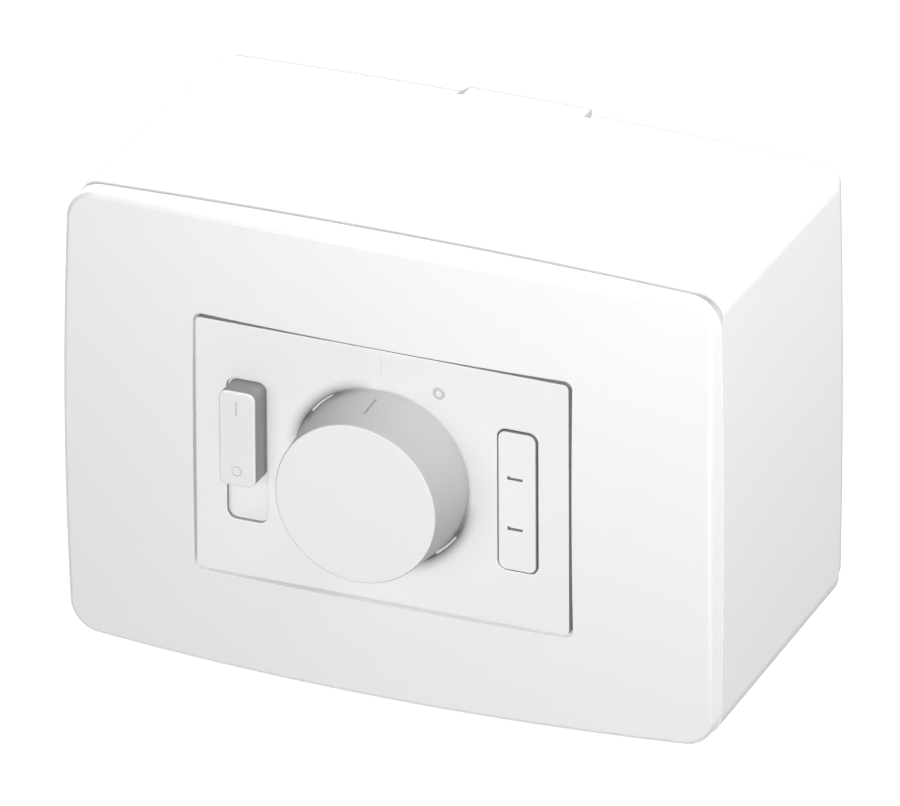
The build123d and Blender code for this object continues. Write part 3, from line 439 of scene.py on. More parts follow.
def box_plastic(paint, joint_shade):
    """ABS, moulded in a spark-eroded mould: an even white with a matt, slightly grained skin, with
    painted shade on its edges and the ends of its pads.
    """
    material, tree, shader = moulded_plastic(
        "ABS moulded, spark-eroded grain, white", paint, 0.35 * MM, 0.5
    )
    place = coordinates(tree)
    sideways = away_from(tree, place["X"], 0.0)
    upper = add_node(tree, RANGE, (place["Z"], *TOP_FADE, 0.0, 1.0))
    # Painted shade on the front edge, where the cover plate shades it, but not on the outermost
    # sides
    inward = add_node(tree, RANGE, (sideways, *SIDE_FADE, 1.0, 0.0))
    edge = band(tree, place["Y"], BOX_FRONT - EDGE_SHADE, BOX_FRONT + 0.06 * MM)
    over(tree, shader, overlap(tree, inward, edge), joint_shade)
    # Painted shade on the upper edge, where the plate shades the box a little further back
    further = band(tree, place["Y"], BOX_FRONT, BOX_FRONT + UPPER_EDGE_SHADE)
    over(tree, shader, overlap(tree, upper, further), joint_shade)
    # Painted shade on the upper left edge, a thin line against the light behind it
    left = add_node(tree, RANGE, (place["X"], *LEFT_FADE, 1.0, 0.0))
    over(tree, shader, overlap(tree, left, upper), shade(0.8, paint))
    # Painted shade on the rear arris, a thin line at the wall
    arris = add_node(tree, RANGE, (place["Y"], *ARRIS_FADE, 0.0, 0.8))
    over(tree, shader, arris, joint_shade)
    # Painted shade on the sloped ends of the pads
    ends = band(tree, sideways, PAD_HALF - 0.05 * MM, PAD_HALF + PAD_SLOPE)
    rim = add_node(tree, RANGE, (place["Y"], *RIM_FADE, 0.0, 1.0))
    upright = away_from(tree, place["Z"], BOX_RISE)
    raised = add_node(tree, RANGE, (upright, *RAISED_FADE, 0.0, 1.0))
    over(tree, shader, overlap(tree, ends, rim, raised), shade(0.8, joint_shade))
    return material


def plate_plastic(paint):
    """ABS, moulded in a finely polished mould: a satin white with a painted highlight at its edges
    and painted shade on its window's walls.
    """
    material, tree, shader = moulded_plastic(
        "ABS moulded, satin, white", paint, 0.5 * MM, 0.34, relief=0.002 * MM
    )
    place = coordinates(tree)
    # Painted highlight on the rim, brighter than the face
    sideways = away_from(tree, place["X"], 0.0)
    rim = add_node(tree, RANGE, (sideways, *PLATE_RIM_HIGHLIGHT_FADE, 0.0, 1.0))
    over(tree, shader, rim, linear("#FDFDFD"))
    # Painted shade on the walls of the window, in the gap round the panel
    out = rounded_distance(
        tree, place, 0.0, WINDOW_HALF_WIDTH, WINDOW_HALF_HEIGHT, WINDOW_CORNER
    )
    inner = add_node(tree, RANGE, (out, *WINDOW_FADE, 1.0, 0.0))
    over(tree, shader, inner, shade(0.9, paint))
    return material


def panel_plastic(paint, side):
    """Polycarbonate, moulded with a fine matt skin: greyer than the plate, with painted shade on
    its walls.
    """
    material, tree, shader = moulded_plastic(
        "polycarbonate moulded, fine matt, white", paint, 0.3 * MM, 0.46, ior=1.58
    )
    place = coordinates(tree)
    sideways = away_from(tree, place["X"], 0.0)
    painted_wall_shade = shade(0.85, side)
    # Painted shade on the outer walls; the upper one gets less of it at its middle, where the bowed
    # plate stands closer
    below = add_node(tree, RANGE, (place["Y"], *FACE_FADE, 0.0, 1.0))
    flanks = add_node(tree, RANGE, (sideways, *FLANK_FADE, 0.0, 1.0))
    upper = add_node(tree, RANGE, (place["Z"], *UPPER_FADE, 0.0, 1.0))
    lighter = add_node(tree, RANGE, (sideways, *MIDDLE_FADE, 0.45, 1.0))
    outer = add_node(tree, MATH, (flanks, overlap(tree, upper, lighter)), operation="MAXIMUM")
    over(tree, shader, overlap(tree, below, outer), painted_wall_shade)
    # Painted shade on the walls of the pockets beside the knob
    radius = axis_distance(tree, place)
    walls = band(tree, place["Y"], *POCKET_WALLS)
    beside = add_node(tree, RANGE, (radius, *BESIDE_FADE, 0.0, 1.0))
    over(tree, shader, overlap(tree, walls, beside), side)
    # How near a place is to the diagonal from the upper left to the lower right: 2 on it, 0 across
    across = add_node(tree, MATH, (place["X"], place["Z"]), operation="SUBTRACT")
    squared = add_node(tree, MATH, (across, 2.0), operation="POWER")
    radius_squared = add_node(tree, MATH, (radius, 2.0), operation="POWER")
    diagonal = add_node(tree, MATH, (squared, radius_squared), operation="DIVIDE")
    # Contact shade beside the knob's base, on the sides that face away from the lamp
    turned_away = add_node(tree, RANGE, (diagonal, 1.2, 1.9, 0.0, 1.0))
    near = add_node(tree, RANGE, (radius, *CONTACT_FADE, 1.0, 0.0))
    # Painted shade covers the recess floor too, but for a short light arc at each end
    floor = band(tree, radius, *RECESS_FLOOR)
    ends = add_node(tree, RANGE, (diagonal, 1.94, 1.955, 0.0, 1.0))
    unlit = add_node(tree, MATH, (1.0, overlap(tree, floor, ends)), operation="SUBTRACT")
    over(tree, shader, overlap(tree, turned_away, near, near, unlit), painted_wall_shade)
    return material


def plug_plastic(paint, side):
    """Polycarbonate, moulded with the panel's skin: light face, with painted shade on its sides and
    grooves.
    """
    material, tree, shader = moulded_plastic(
        "polycarbonate moulded, fine matt, white, shaded grooves", paint, 0.3 * MM, 0.46, ior=1.58
    )
    place = coordinates(tree)
    # Painted shade on the sides and a thin border of the face, measured from the plug's rounded
    # outline
    out = rounded_distance(tree, place, PLUG_X, PLUG_HALF_WIDTH, PLUG_HALF_HEIGHT, PLUG_CORNER)
    border = add_node(tree, RANGE, (out, *BORDER_FADE, 0.0, 1.0))
    over(tree, shader, border, side)
    # Painted shade on each groove's lower wall and left end; its floor stays light
    depth = band(tree, place["Y"], *GROOVE_DEPTH)
    left = add_node(tree, RANGE, (place["X"], *GROOVE_LEFT_FADE, 1.0, 0.0))
    for level in GROOVES:
        low = add_node(
            tree, RANGE, (place["Z"], level - 0.05 * MM, level + 0.02 * MM, 1.0, 0.0)
        )
        near = band(tree, place["Z"], level - GROOVE_HALF, level + GROOVE_HALF)
        either = add_node(tree, MATH, (low, left), operation="MAXIMUM")
        over(tree, shader, overlap(tree, depth, near, either), side)
    return material


def knob_plastic(face, side):
    """ABS, moulded: a smooth light face, and a greyer matt side in painted shade."""
    material, tree, shader = plastic_with_painted_side_shade(
        "ABS two-step moulded, light face, matt side", face, side, KNOB_FACE + 0.03 * MM,
        0.06 * MM, 0.3 * MM, 0.42,
    )
    # Painted shade in the index line, cut below the tapered side
    place = coordinates(tree)
    skin = add_node(tree, RANGE, (place["Y"], KNOB_FACE, PANEL_FACE, KNOB_FRONT, KNOB_BASE))
    sunk = add_node(tree, MATH, (skin, axis_distance(tree, place)), operation="SUBTRACT")
    cut = band(tree, sunk, *INDEX_CUT)
    span = band(tree, place["Y"], *INDEX_SPAN)
    over(tree, shader, overlap(tree, cut, span), shade(0.8, side))
    return material


def slider_plastic(face, side):
    """Polycarbonate, moulded: a light front, with painted shade on the body behind it."""
    return plastic_with_painted_side_shade(
        "polycarbonate two-step moulded, light cap, grey body", face, side,
        SLIDER_FACE + 0.3 * MM, 0.1 * MM, 0.3 * MM, 0.44,
    )[0]


def mark_plastic(paint):
    """Pad-printed relief, the same plastic with a thin grey ink: it only just stands out."""
    return moulded_plastic("plastic relief, pad printed, pale grey", paint, 0.2 * MM, 0.5)[0]


def filled_plastic(name, code, grain, roughness):
    """Glass-filled or mineral-filled plastic: short fibres show as a fine streaky mottle."""
    material, tree, place = new_material(name)
    paint = linear(code)
    drawn = add_node(tree, "ShaderNodeMapping", {"Vector": place, "Scale": (1.0, 1.0, 4.0)})
    streaks = add_node(tree, NOISE, {"Vector": drawn, "Scale": 1 / grain, "Detail": 4.0})
    tone = add_node(tree, MIX, {0: streaks, 6: shade(0.82, paint), 7: paint}, data_type="RGBA")
    dents = add_node(tree, "ShaderNodeBump", {"Height": streaks, "Distance": 0.006 * MM})
    close_material(tree, {
        "Base Color": tone.outputs[2], "Roughness": roughness, "Normal": dents,
    })
    return material


# Metals

def worked_metal(name, code, roughness, pitch, axis, depth=0.004 * MM, coat=0.0):
    """Metal with fine parallel marks across an axis, left by turning, drawing or extruding."""
    material, tree, place = new_material(name)
    paint = linear(code)
    stretch = [1.0 if letter == axis else 0.04 for letter in "xyz"]
    drawn = add_node(tree, "ShaderNodeMapping", {"Vector": place, "Scale": stretch})
    # Tool marks, drawn at a coarser pitch than the real ones so that they show
    marks = add_node(tree, NOISE, {"Vector": drawn, "Scale": 1 / pitch, "Detail": 3.0})
    tone = add_node(tree, MIX, {0: marks, 6: shade(0.86, paint), 7: paint}, data_type="RGBA")
    sheen = add_node(tree, RANGE, (marks, 0.3, 0.7, roughness - 0.06, roughness + 0.08))
    dents = add_node(tree, "ShaderNodeBump", {"Height": marks, "Distance": depth})
    close_material(tree, {
        "Base Color": tone.outputs[2], "Metallic": 1.0, "Roughness": sheen, "Normal": dents,
        "Coat Weight": coat, "Coat Roughness": 0.08,
    })
    return material


def zinc_plate(name="steel, zinc plated"):
    """Steel, zinc plated: a cool grey with the plating's soft cloudy spangle."""
    material, tree, place = new_material(name)
    spangle = add_node(tree, CELLS, {"Vector": place, "Scale": 1 / (0.6 * MM)}).outputs["Color"]
    tone = add_node(
        tree, MIX, {0: spangle, 6: linear("#B4B8BC"), 7: linear("#C9CCCF")}, data_type="RGBA"
    )
    cloud = add_node(tree, NOISE, {"Vector": place, "Scale": 1 / (0.4 * MM), "Detail": 2.0})
    sheen = add_node(tree, RANGE, (cloud, 0.3, 0.7, 0.25, 0.42))
    close_material(tree, {"Base Color": tone.outputs[2], "Metallic": 1.0, "Roughness": sheen})
    return material


def enamelled_copper():
    """Copper wire, drawn and dipped in varnish: reddish metal under a clear amber coat."""
    return worked_metal(
        "copper wire, drawn, varnished", "#C4743F", 0.3, 0.3 * MM, "y", coat=1.0
    )


# Other inner materials

def board_laminate():
    """Glass laminate, solder masked: green lacquer with paler copper tracks showing through."""
    material, tree, place = new_material("glass laminate, solder masked, green")
    cells = add_node(
        tree, CELLS, {"Vector": place, "Scale": 1 / (6.0 * MM)}, distance="MANHATTAN", feature="F2"
    )
    tracks = add_node(tree, RANGE, (cells, 0.5, 0.52, 0.0, 1.0))
    lacquer = add_node(
        tree, MIX, {0: tracks, 6: linear("#1F5A30"), 7: linear("#2F7A40")}, data_type="RGBA"
    )
    cloud = add_node(tree, NOISE, {"Vector": place, "Scale": 1 / (3 * MM), "Detail": 2.0})
    tone = add_node(
        tree, MIX, {0: cloud, 6: lacquer.outputs[2], 7: linear("#255F33")}, data_type="RGBA"
    )
    # Glass cloth, drawn as coarse as the pitch of the board's pins so that it shows
    ripple = add_node(
        tree, MATH, (coordinates(tree)["X"], tau / (2.54 * MM)), operation="MULTIPLY"
    )
    weave = add_node(tree, MATH, (ripple,), operation="SINE")
    relief = add_node(tree, MATH, (weave, tracks), operation="MULTIPLY")
    dents = add_node(tree, "ShaderNodeBump", {"Height": relief, "Distance": 0.02 * MM})
    close_material(tree, {"Base Color": tone.outputs[2], "Roughness": 0.3, "Normal": dents})
    return material


def ferrite():
    """Ferrite, pressed and sintered: a dark grey ceramic with small pores."""
    material, tree, place = new_material("ferrite, pressed and sintered")
    pores = add_node(tree, CELLS, {"Vector": place, "Scale": 1 / (0.5 * MM)})
    tone = add_node(
        tree, MIX, {0: pores, 6: linear("#1E1F22"), 7: linear("#3A3B3F")}, data_type="RGBA"
    )
    dents = add_node(tree, "ShaderNodeBump", {"Height": pores, "Distance": 0.02 * MM})
    close_material(tree, {"Base Color": tone.outputs[2], "Roughness": 0.62, "Normal": dents})
    return material


def fuse_glass():
    """Soda glass, drawn tube with nickel-plated caps: clear in the middle, metal at both ends."""
    material, tree, _ = new_material("soda glass, drawn, nickel-plated caps")
    low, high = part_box("fuse")
    cap_start = (high.x - low.x) / 2 - 5.0 * MM
    along = away_from(tree, coordinates(tree)["X"], (low.x + high.x) / 2)
    metal = add_node(tree, RANGE, (along, cap_start - 0.05 * MM, cap_start + 0.05 * MM, 0.0, 1.0))
    tone = add_node(
        tree, MIX, {0: metal, 6: linear("#DDE6E4"), 7: linear("#BFC1C2")}, data_type="RGBA"
    )
    close_material(tree, {
        "Base Color": tone.outputs[2],
        "Metallic": metal,
        "Roughness": add_node(tree, RANGE, (metal, 0.0, 1.0, 0.06, 0.28)),
        "Transmission Weight": add_node(tree, RANGE, (metal, 0.0, 1.0, 0.9, 0.0)),
    })
    return material


def resistor_coat():
    """Ceramic rod, lacquered, with tinned leads: a beige coat with three plain colour bands."""
    material, tree, _ = new_material("ceramic rod, lacquered, banded, tinned leads")
    low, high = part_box("resistors")
    middle = (low.z + high.z) / 2
    along = add_node(tree, MATH, (coordinates(tree)["Z"], middle), operation="SUBTRACT")
    tone = linear("#C9AE86")
    for start, code in ((-1.6 * MM, "#7A3B1E"), (-0.5 * MM, "#1D1D1F"), (0.6 * MM, "#B5402B")):
        past = add_node(tree, MATH, (along, start), operation="GREATER_THAN")
        before = add_node(tree, MATH, (along, start + 0.6 * MM), operation="LESS_THAN")
        stripe = overlap(tree, past, before)
        mix = add_node(tree, MIX, {0: stripe, 6: tone, 7: linear(code)}, data_type="RGBA")
        tone = mix.outputs[2]
    span = add_node(tree, MATH, (along,), operation="ABSOLUTE")
    lead = add_node(tree, MATH, (span, 3.26 * MM), operation="GREATER_THAN")
    mix = add_node(tree, MIX, {0: lead, 6: tone, 7: linear("#BFC0BF")}, data_type="RGBA")
    close_material(tree, {"Base Color": mix.outputs[2], "Metallic": lead, "Roughness": 0.32})
    return material


# What repeats or follows a path

def new_tree(name, sizes):
    """A Geometry Nodes tree with named inputs and one geometry output."""
    tree = bpy.data.node_groups.new(name, "GeometryNodeTree")
    tree.interface.new_socket(name="Geometry", in_out="OUTPUT", socket_type="NodeSocketGeometry")
    for label, kind in sizes.items():
        tree.interface.new_socket(name=label, in_out="INPUT", socket_type=kind)
    return tree, tree.nodes.new("NodeGroupInput").outputs


def end_tree(tree, geometry, material):
    """Close a tree with real geometry and its material."""
    smooth = add_node(tree, "GeometryNodeSetShadeSmooth", {"Geometry": geometry})
    real = add_node(tree, "GeometryNodeRealizeInstances", {"Geometry": smooth})
    done = add_node(tree, "GeometryNodeSetMaterial", {"Geometry": real, "Material": material})
    add_node(tree, "NodeGroupOutput", {"Geometry": done})


def grow(name, tree, values, body):
    """Run a tree with its inputs and keep the result as a plain mesh that rides on a body."""
    piece = bpy.data.objects.new(name, bpy.data.meshes.new(name))
    bpy.context.scene.collection.objects.link(piece)
    modifier = piece.modifiers.new(name, "NODES")
    modifier.node_group = tree
    for socket in tree.interface.items_tree:
        if socket.in_out == "INPUT":
            modifier[socket.identifier] = values[socket.name]
    graph = bpy.context.evaluated_depsgraph_get()
    mesh = bpy.data.meshes.new_from_object(piece.evaluated_get(graph), depsgraph=graph)
    piece.modifiers.clear()
    piece.data = mesh
    mesh.name = name
    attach(piece, body)
    return piece


def flatness(rise, width):
    """How far a round bead of a width is pressed flat, to stand only a rise above its surface."""
    return 2 * rise / width


def ring_tree(material):
    """A low round bead bent to a ring that faces the front."""
    sizes = {
        "Place": "NodeSocketVector", "Radius": "NodeSocketFloat", "Width": "NodeSocketFloat",
        "Flatness": "NodeSocketVector",
    }
    tree, inputs = new_tree("Raised ring", sizes)
    path = add_node(
        tree, "GeometryNodeCurvePrimitiveCircle",
        {"Resolution": RING_STEPS, "Radius": inputs["Radius"]},
    )
    half = add_node(tree, MATH, (inputs["Width"], 0.5), operation="MULTIPLY")
    section = add_node(
        tree, "GeometryNodeCurvePrimitiveCircle", {"Resolution": BEAD_SIDES, "Radius": half}
    )
    bead = add_node(tree, "GeometryNodeCurveToMesh", {"Curve": path, "Profile Curve": section})
    turned = add_node(
        tree, "GeometryNodeTransform",
        {"Geometry": bead, "Translation": inputs["Place"], "Rotation": (pi / 2, 0, 0),
         "Scale": inputs["Flatness"]},
    )
    end_tree(tree, turned, material)
    return tree


def bar_tree(material):
    """A low round bead along a short upright line."""
    sizes = {
        "Place": "NodeSocketVector", "Length": "NodeSocketFloat", "Width": "NodeSocketFloat",
        "Flatness": "NodeSocketVector",
    }
    tree, inputs = new_tree("Raised bar", sizes)
    path = add_node(
        tree, "GeometryNodeCurvePrimitiveLine",
        {"Direction": (0, 0, 1), "Length": inputs["Length"]}, mode="DIRECTION",
    )
    half = add_node(tree, MATH, (inputs["Width"], 0.5), operation="MULTIPLY")
    section = add_node(
        tree, "GeometryNodeCurvePrimitiveCircle", {"Resolution": BEAD_SIDES, "Radius": half}
    )
    bead = add_node(
        tree, "GeometryNodeCurveToMesh",
        {"Curve": path, "Profile Curve": section, "Fill Caps": True},
    )
    placed = add_node(
        tree, "GeometryNodeTransform",
        {"Geometry": bead, "Translation": inputs["Place"], "Scale": inputs["Flatness"]},
    )
    end_tree(tree, placed, material)
    return tree


def turns_tree(material):
    """Wire loops side by side round a ring-shaped core that faces the front."""
    sizes = {
        "Place": "NodeSocketVector", "Radius": "NodeSocketFloat", "Across": "NodeSocketFloat",
        "Along": "NodeSocketFloat", "Wire": "NodeSocketFloat", "Turns": "NodeSocketInt",
        "Start": "NodeSocketFloat", "Sweep": "NodeSocketFloat",
    }
    tree, inputs = new_tree("Wire turns", sizes)
    path = add_node(
        tree, "GeometryNodeCurveArc",
        {"Resolution": WINDING_STEPS, "Radius": inputs["Radius"], "Start Angle": inputs["Start"],
         "Sweep Angle": inputs["Sweep"]},
    )
    points = add_node(
        tree, "GeometryNodeCurveToPoints", {"Curve": path, "Count": inputs["Turns"]}
    )
    loop = add_node(
        tree, "GeometryNodeCurvePrimitiveQuadrilateral",
        {"Width": inputs["Across"], "Height": inputs["Along"]},
    )
    corner = add_node(
        tree, "GeometryNodeFilletCurve", {"Curve": loop, "Radius": inputs["Wire"], "Count": 4},
        mode="POLY",
    )
    half = add_node(tree, MATH, (inputs["Wire"], 0.5), operation="MULTIPLY")
    section = add_node(
        tree, "GeometryNodeCurvePrimitiveCircle", {"Resolution": WIRE_SIDES, "Radius": half}
    )
    wire = add_node(tree, "GeometryNodeCurveToMesh", {"Curve": corner, "Profile Curve": section})
    many = add_node(
        tree, "GeometryNodeInstanceOnPoints",
        {"Points": points, "Instance": wire, "Rotation": points.outputs["Rotation"]},
    )
    real = add_node(tree, "GeometryNodeRealizeInstances", {"Geometry": many})
    placed = add_node(
        tree, "GeometryNodeTransform",
        {"Geometry": real, "Translation": inputs["Place"], "Rotation": (pi / 2, 0, 0)},
    )
    end_tree(tree, placed, material)
    return tree


def thread_tree(material):
    """Screw threads on a row of shanks that lie along Y."""
    sizes = {
        "Place": "NodeSocketVector", "Columns": "NodeSocketInt", "Rows": "NodeSocketInt",
        "Width": "NodeSocketFloat", "Height": "NodeSocketFloat", "Radius": "NodeSocketFloat",
        "Length": "NodeSocketFloat", "Turns": "NodeSocketFloat", "Ridge": "NodeSocketFloat",
    }
    tree, inputs = new_tree("Screw threads", sizes)
    path = add_node(
        tree, "GeometryNodeCurveSpiral",
        {"Resolution": THREAD_STEPS, "Rotations": inputs["Turns"],
         "Start Radius": inputs["Radius"], "End Radius": inputs["Radius"],
         "Height": inputs["Length"]},
    )
    section = add_node(
        tree, "GeometryNodeCurvePrimitiveCircle",
        {"Resolution": THREAD_SIDES, "Radius": inputs["Ridge"]},
    )
    ridge = add_node(
        tree, "GeometryNodeCurveToMesh",
        {"Curve": path, "Profile Curve": section, "Fill Caps": True},
    )
    grid = add_node(
        tree, "GeometryNodeMeshGrid",
        {"Size X": inputs["Width"], "Size Y": inputs["Height"], "Vertices X": inputs["Columns"],
         "Vertices Y": inputs["Rows"]},
    )
    many = add_node(tree, "GeometryNodeInstanceOnPoints", {"Points": grid, "Instance": ridge})
    real = add_node(tree, "GeometryNodeRealizeInstances", {"Geometry": many})
    placed = add_node(
        tree, "GeometryNodeTransform",
        {"Geometry": real, "Translation": inputs["Place"], "Rotation": (pi / 2, 0, 0)},
    )
    end_tree(tree, placed, material)
    return tree


# Operators

class FANCONTROL_OT_housing(bpy.types.Operator):
    """Finish the wall box, the cover plate, the control panel and the blank plug."""

    bl_idname = "fancontrol.housing"
    bl_label = "Housing"

    def execute(self, context):
        chosen = context.scene.fan_control_colours
        dress("wall_box", box_plastic(chosen.box, chosen.joint_shade))
        dress("cover_plate", plate_plastic(chosen.plate))
        dress("control_panel", panel_plastic(chosen.panel, chosen.panel_wall_shade))
        dress("blank_plug", plug_plastic(chosen.panel, chosen.plug_side_shade))
        return {"FINISHED"}


class FANCONTROL_OT_knob(bpy.types.Operator):
    """Finish the speed knob and what turns with it."""

    bl_idname = "fancontrol.knob"
    bl_label = "Knob"

    def execute(self, context):
        chosen = context.scene.fan_control_colours
        dress("knob", knob_plastic(chosen.knob_face, chosen.knob_side_shade))
        # Spring steel, rolled and hardened: darker and bluer than the plated parts
        spring = worked_metal("spring steel, rolled, hardened", "#8C9096", 0.3, 0.2 * MM, "y")
        dress("knob_clip", spring)
        # Aluminium, turned: bright, with rings left by the tool
        bright = worked_metal("aluminium, turned", "#C6C8CB", 0.28, 0.25 * MM, "y")
        dress("control_shaft", bright)
        return {"FINISHED"}


class FANCONTROL_OT_slider(bpy.types.Operator):
    """Finish the on and off slider and the actuator behind it."""

    bl_idname = "fancontrol.slider"
    bl_label = "Slider"

    def execute(self, context):
        chosen = context.scene.fan_control_colours
        dress("switch_slider", slider_plastic(chosen.slider_face, chosen.slider_side_shade))
        # Acetal, moulded: a milky, slippery white
        milky = moulded_plastic("acetal moulded, milky", linear("#E6E5E0"), 0.5 * MM, 0.3)[0]
        dress("switch_actuator", milky)
        return {"FINISHED"}


class FANCONTROL_OT_inside(bpy.types.Operator):
    """Finish the frame, the board and everything on it."""

    bl_idname = "fancontrol.inside"
    bl_label = "Inside"

    def execute(self, context):
        plated = zinc_plate()
        # Brass, turned: a warm yellow with the tool's rings
        brass = worked_metal("brass, turned", "#C9A24E", 0.3, 0.25 * MM, "y")
        # Phenolic, moulded with mineral flour: a dull black with a faint mottle
        black = filled_plastic("phenolic moulded, mineral filled, black", "#232427", 1.2 * MM, 0.45)
        # Nylon, moulded with glass fibre: a light grey with streaks where it flowed
        grey = filled_plastic("nylon moulded, glass filled, grey", "#BFC1C3", 1.5 * MM, 0.5)
        # Nylon, moulded: a green that marks low-voltage terminal blocks
        green = filled_plastic("nylon moulded, green", "#2F7048", 0.9 * MM, 0.42)
        # Polyester, moulded case filled with resin: a glossy mustard yellow
        yellow = moulded_plastic("polyester moulded, yellow", linear("#C79A28"), 0.8 * MM, 0.3)[0]
        # Brass, stamped and tin plated: a pale, slightly warm grey
        tinned = worked_metal("brass, stamped, tin plated", "#C6C5BF", 0.34, 0.3 * MM, "z")
        # Aluminium, extruded: a soft grey with the die's long lines
        sink = worked_metal("aluminium, extruded", "#B9BCC0", 0.38, 0.35 * MM, "y", 0.008 * MM)
        # Epoxy, moulded round the chip: a matt black
        epoxy = filled_plastic("epoxy moulded, black", "#1B1B1D", 0.8 * MM, 0.5)
        finishes = (
            ("frame_screws", plated), ("board_screws", plated), ("heat_sink_screw", plated),
            ("terminal_screws", plated), ("bushing_washer", plated), ("bushing_nut", plated),
            ("bushing", brass), ("terminal_clamps", brass), ("potentiometer_body", black),
            ("slide_switch_body", black), ("support_frame", grey), ("terminal_block", green),
            ("film_capacitors", yellow), ("fuse_clips", tinned), ("heat_sink", sink),
            ("triac", epoxy), ("circuit_board", board_laminate()), ("choke_core", ferrite()),
            ("fuse", fuse_glass()), ("resistors", resistor_coat()),
        )
        for node, finish in finishes:
            dress(node, finish)
        return {"FINISHED"}


class FANCONTROL_OT_panel_marks(bpy.types.Operator):
    """Add the tick and the off ring above the knob."""

    bl_idname = "fancontrol.panel_marks"
    bl_label = "Panel marks"

    def execute(self, context):
        sizes = context.scene.fan_control_marks
        chosen = context.scene.fan_control_colours
        tick = {
            "Place": (0, PANEL_FACE, sizes.tick_low),
            "Length": sizes.tick_high - sizes.tick_low,
            "Width": sizes.tick_width,
            "Flatness": (1, flatness(TICK_RISE * sizes.relief, sizes.tick_width), 1),
        }
        # The tick has the panel's own paint, a touch darker
        faint = bar_tree(mark_plastic(shade(0.93, chosen.panel)))
        grow("panel_tick", faint, tick, "housing")
        ring = {
            "Place": (sizes.ring_x, PANEL_FACE, sizes.ring_z),
            "Radius": sizes.ring_radius,
            "Width": sizes.ring_width,
            "Flatness": (1, 1, flatness(RING_RISE * sizes.relief, sizes.ring_width)),
        }
        printed = ring_tree(mark_plastic(chosen.mark))
        grow("panel_off_ring", printed, ring, "housing")
        return {"FINISHED"}


class FANCONTROL_OT_slider_marks(bpy.types.Operator):
    """Add the bar and the circle on the slider."""

    bl_idname = "fancontrol.slider_marks"
    bl_label = "Slider marks"

    def execute(self, context):
        sizes = context.scene.fan_control_marks
        ink = mark_plastic(context.scene.fan_control_colours.mark)
        bar = {
            "Place": (SLIDER_X, SLIDER_FACE, sizes.bar_low),
            "Length": sizes.bar_high - sizes.bar_low,
            "Width": sizes.bar_width,
            "Flatness": (1, flatness(SLIDER_MARK_RISE * sizes.relief, sizes.bar_width), 1),
        }
        grow("slider_on_bar", bar_tree(ink), bar, "on_off_slider")
        circle = {
            "Place": (SLIDER_X, SLIDER_FACE, -sizes.circle_drop),
            "Radius": sizes.circle_radius,
            "Width": sizes.circle_width,
            "Flatness": (1, 1, flatness(SLIDER_MARK_RISE * sizes.relief, sizes.circle_width)),
        }
        grow("slider_off_circle", ring_tree(ink), circle, "on_off_slider")
        return {"FINISHED"}


class FANCONTROL_OT_winding(bpy.types.Operator):
    """Wind the choke with its turns of wire."""

    bl_idname = "fancontrol.winding"
    bl_label = "Choke winding"

    turns: IntProperty(name="Turns", description="Turns of wire round the core", default=16, min=1)

    def execute(self, context):
        core_low, core_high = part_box("choke_core")
        wire = (core_low.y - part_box("choke_winding")[0].y) * WIRE_SHARE
        outer = (core_high.x - core_low.x) / 2
        inner = outer / 2
        values = {
            "Place": (core_low + core_high) / 2,
            "Radius": (outer + inner) / 2,
            "Across": outer - inner + LOOP_ROOM * wire,
            "Along": core_high.y - core_low.y + LOOP_ROOM * wire,
            "Wire": wire,
            "Turns": self.turns,
            "Start": -pi / 2 + WINDING_GAP / 2,
            "Sweep": tau - WINDING_GAP,
        }
        turns = turns_tree(enamelled_copper())
        piece = grow("choke_turns", turns, values, "housing")
        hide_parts("choke_winding")
        return {"FINISHED"}


class FANCONTROL_OT_threads(bpy.types.Operator):
    """Cut the threads of the frame screws."""

    bl_idname = "fancontrol.threads"
    bl_label = "Screw threads"

    def execute(self, context):
        low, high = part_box("frame_screws")
        head = high.z - low.z
        thread = high.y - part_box("support_frame")[1].y
        values = {
            "Place": (0, high.y, 0),
            "Columns": 2,
            "Rows": 1,
            "Width": high.x - low.x - head,
            "Height": 0.0,
            "Radius": head / 4 - THREAD_SUNK,
            "Length": thread,
            "Turns": thread / THREAD_PITCH,
            "Ridge": THREAD_RIDGE,
        }
        rolled = thread_tree(zinc_plate("steel, thread rolled, zinc plated"))
        grow("frame_screw_threads", rolled, values, "housing")
        return {"FINISHED"}


class FANCONTROL_OT_stage(bpy.types.Operator):
    """Set the floor, the lamps, the surrounding light and the camera."""

    bl_idname = "fancontrol.stage"
    bl_label = "Stage"

    def execute(self, context):
        settings = context.scene.fan_control_studio
        add_floor(settings)
        add_surroundings(settings)
        face = Vector((0, PANEL_FACE, 0))
        lamps = [
            add_lamp(name, face, direction, distance, size, getattr(settings, power))
            for name, direction, distance, size, power in LAMPS
        ]
        soften_key(lamps[0])
        add_camera(settings, face)
        return {"FINISHED"}


# Stage

def seen_directly(tree):
    """1 for what the camera, a reflection or a look through glass meets, and 0 for light."""
    path = add_node(tree, "ShaderNodeLightPath").outputs
    seen = add_node(
        tree, MATH, (path["Is Camera Ray"], path["Is Glossy Ray"]), operation="MAXIMUM"
    )
    return add_node(tree, MATH, (seen, path["Is Transmission Ray"]), operation="MAXIMUM")


def add_floor(settings):
    """A plain white floor, well below the unit, that keeps its soft shadow."""
    level = CAD_BOX[0].z - settings.floor_drop
    mesh = bpy.data.meshes.new("floor")
    signs = ((-1, -1), (1, -1), (1, 1), (-1, 1))
    corners = [(x * FLOOR_HALF, y * FLOOR_HALF, level) for x, y in signs]
    mesh.from_pydata(corners, [], [(0, 1, 2, 3)])
    floor = bpy.data.objects.new("floor", mesh)
    bpy.context.scene.collection.objects.link(floor)
    # Paper sweep, matt white: even and without a highlight
    material, tree, _ = new_material("paper, matt white")
    glow = add_node(tree, MATH, (seen_directly(tree), FLOOR_GLOW), operation="MULTIPLY")
    close_material(tree, {
        "Base Color": linear("#F7F7F7"), "Roughness": 0.9, "Emission Color": (1, 1, 1, 1),
        "Emission Strength": glow,
    })
    mesh.materials.append(material)


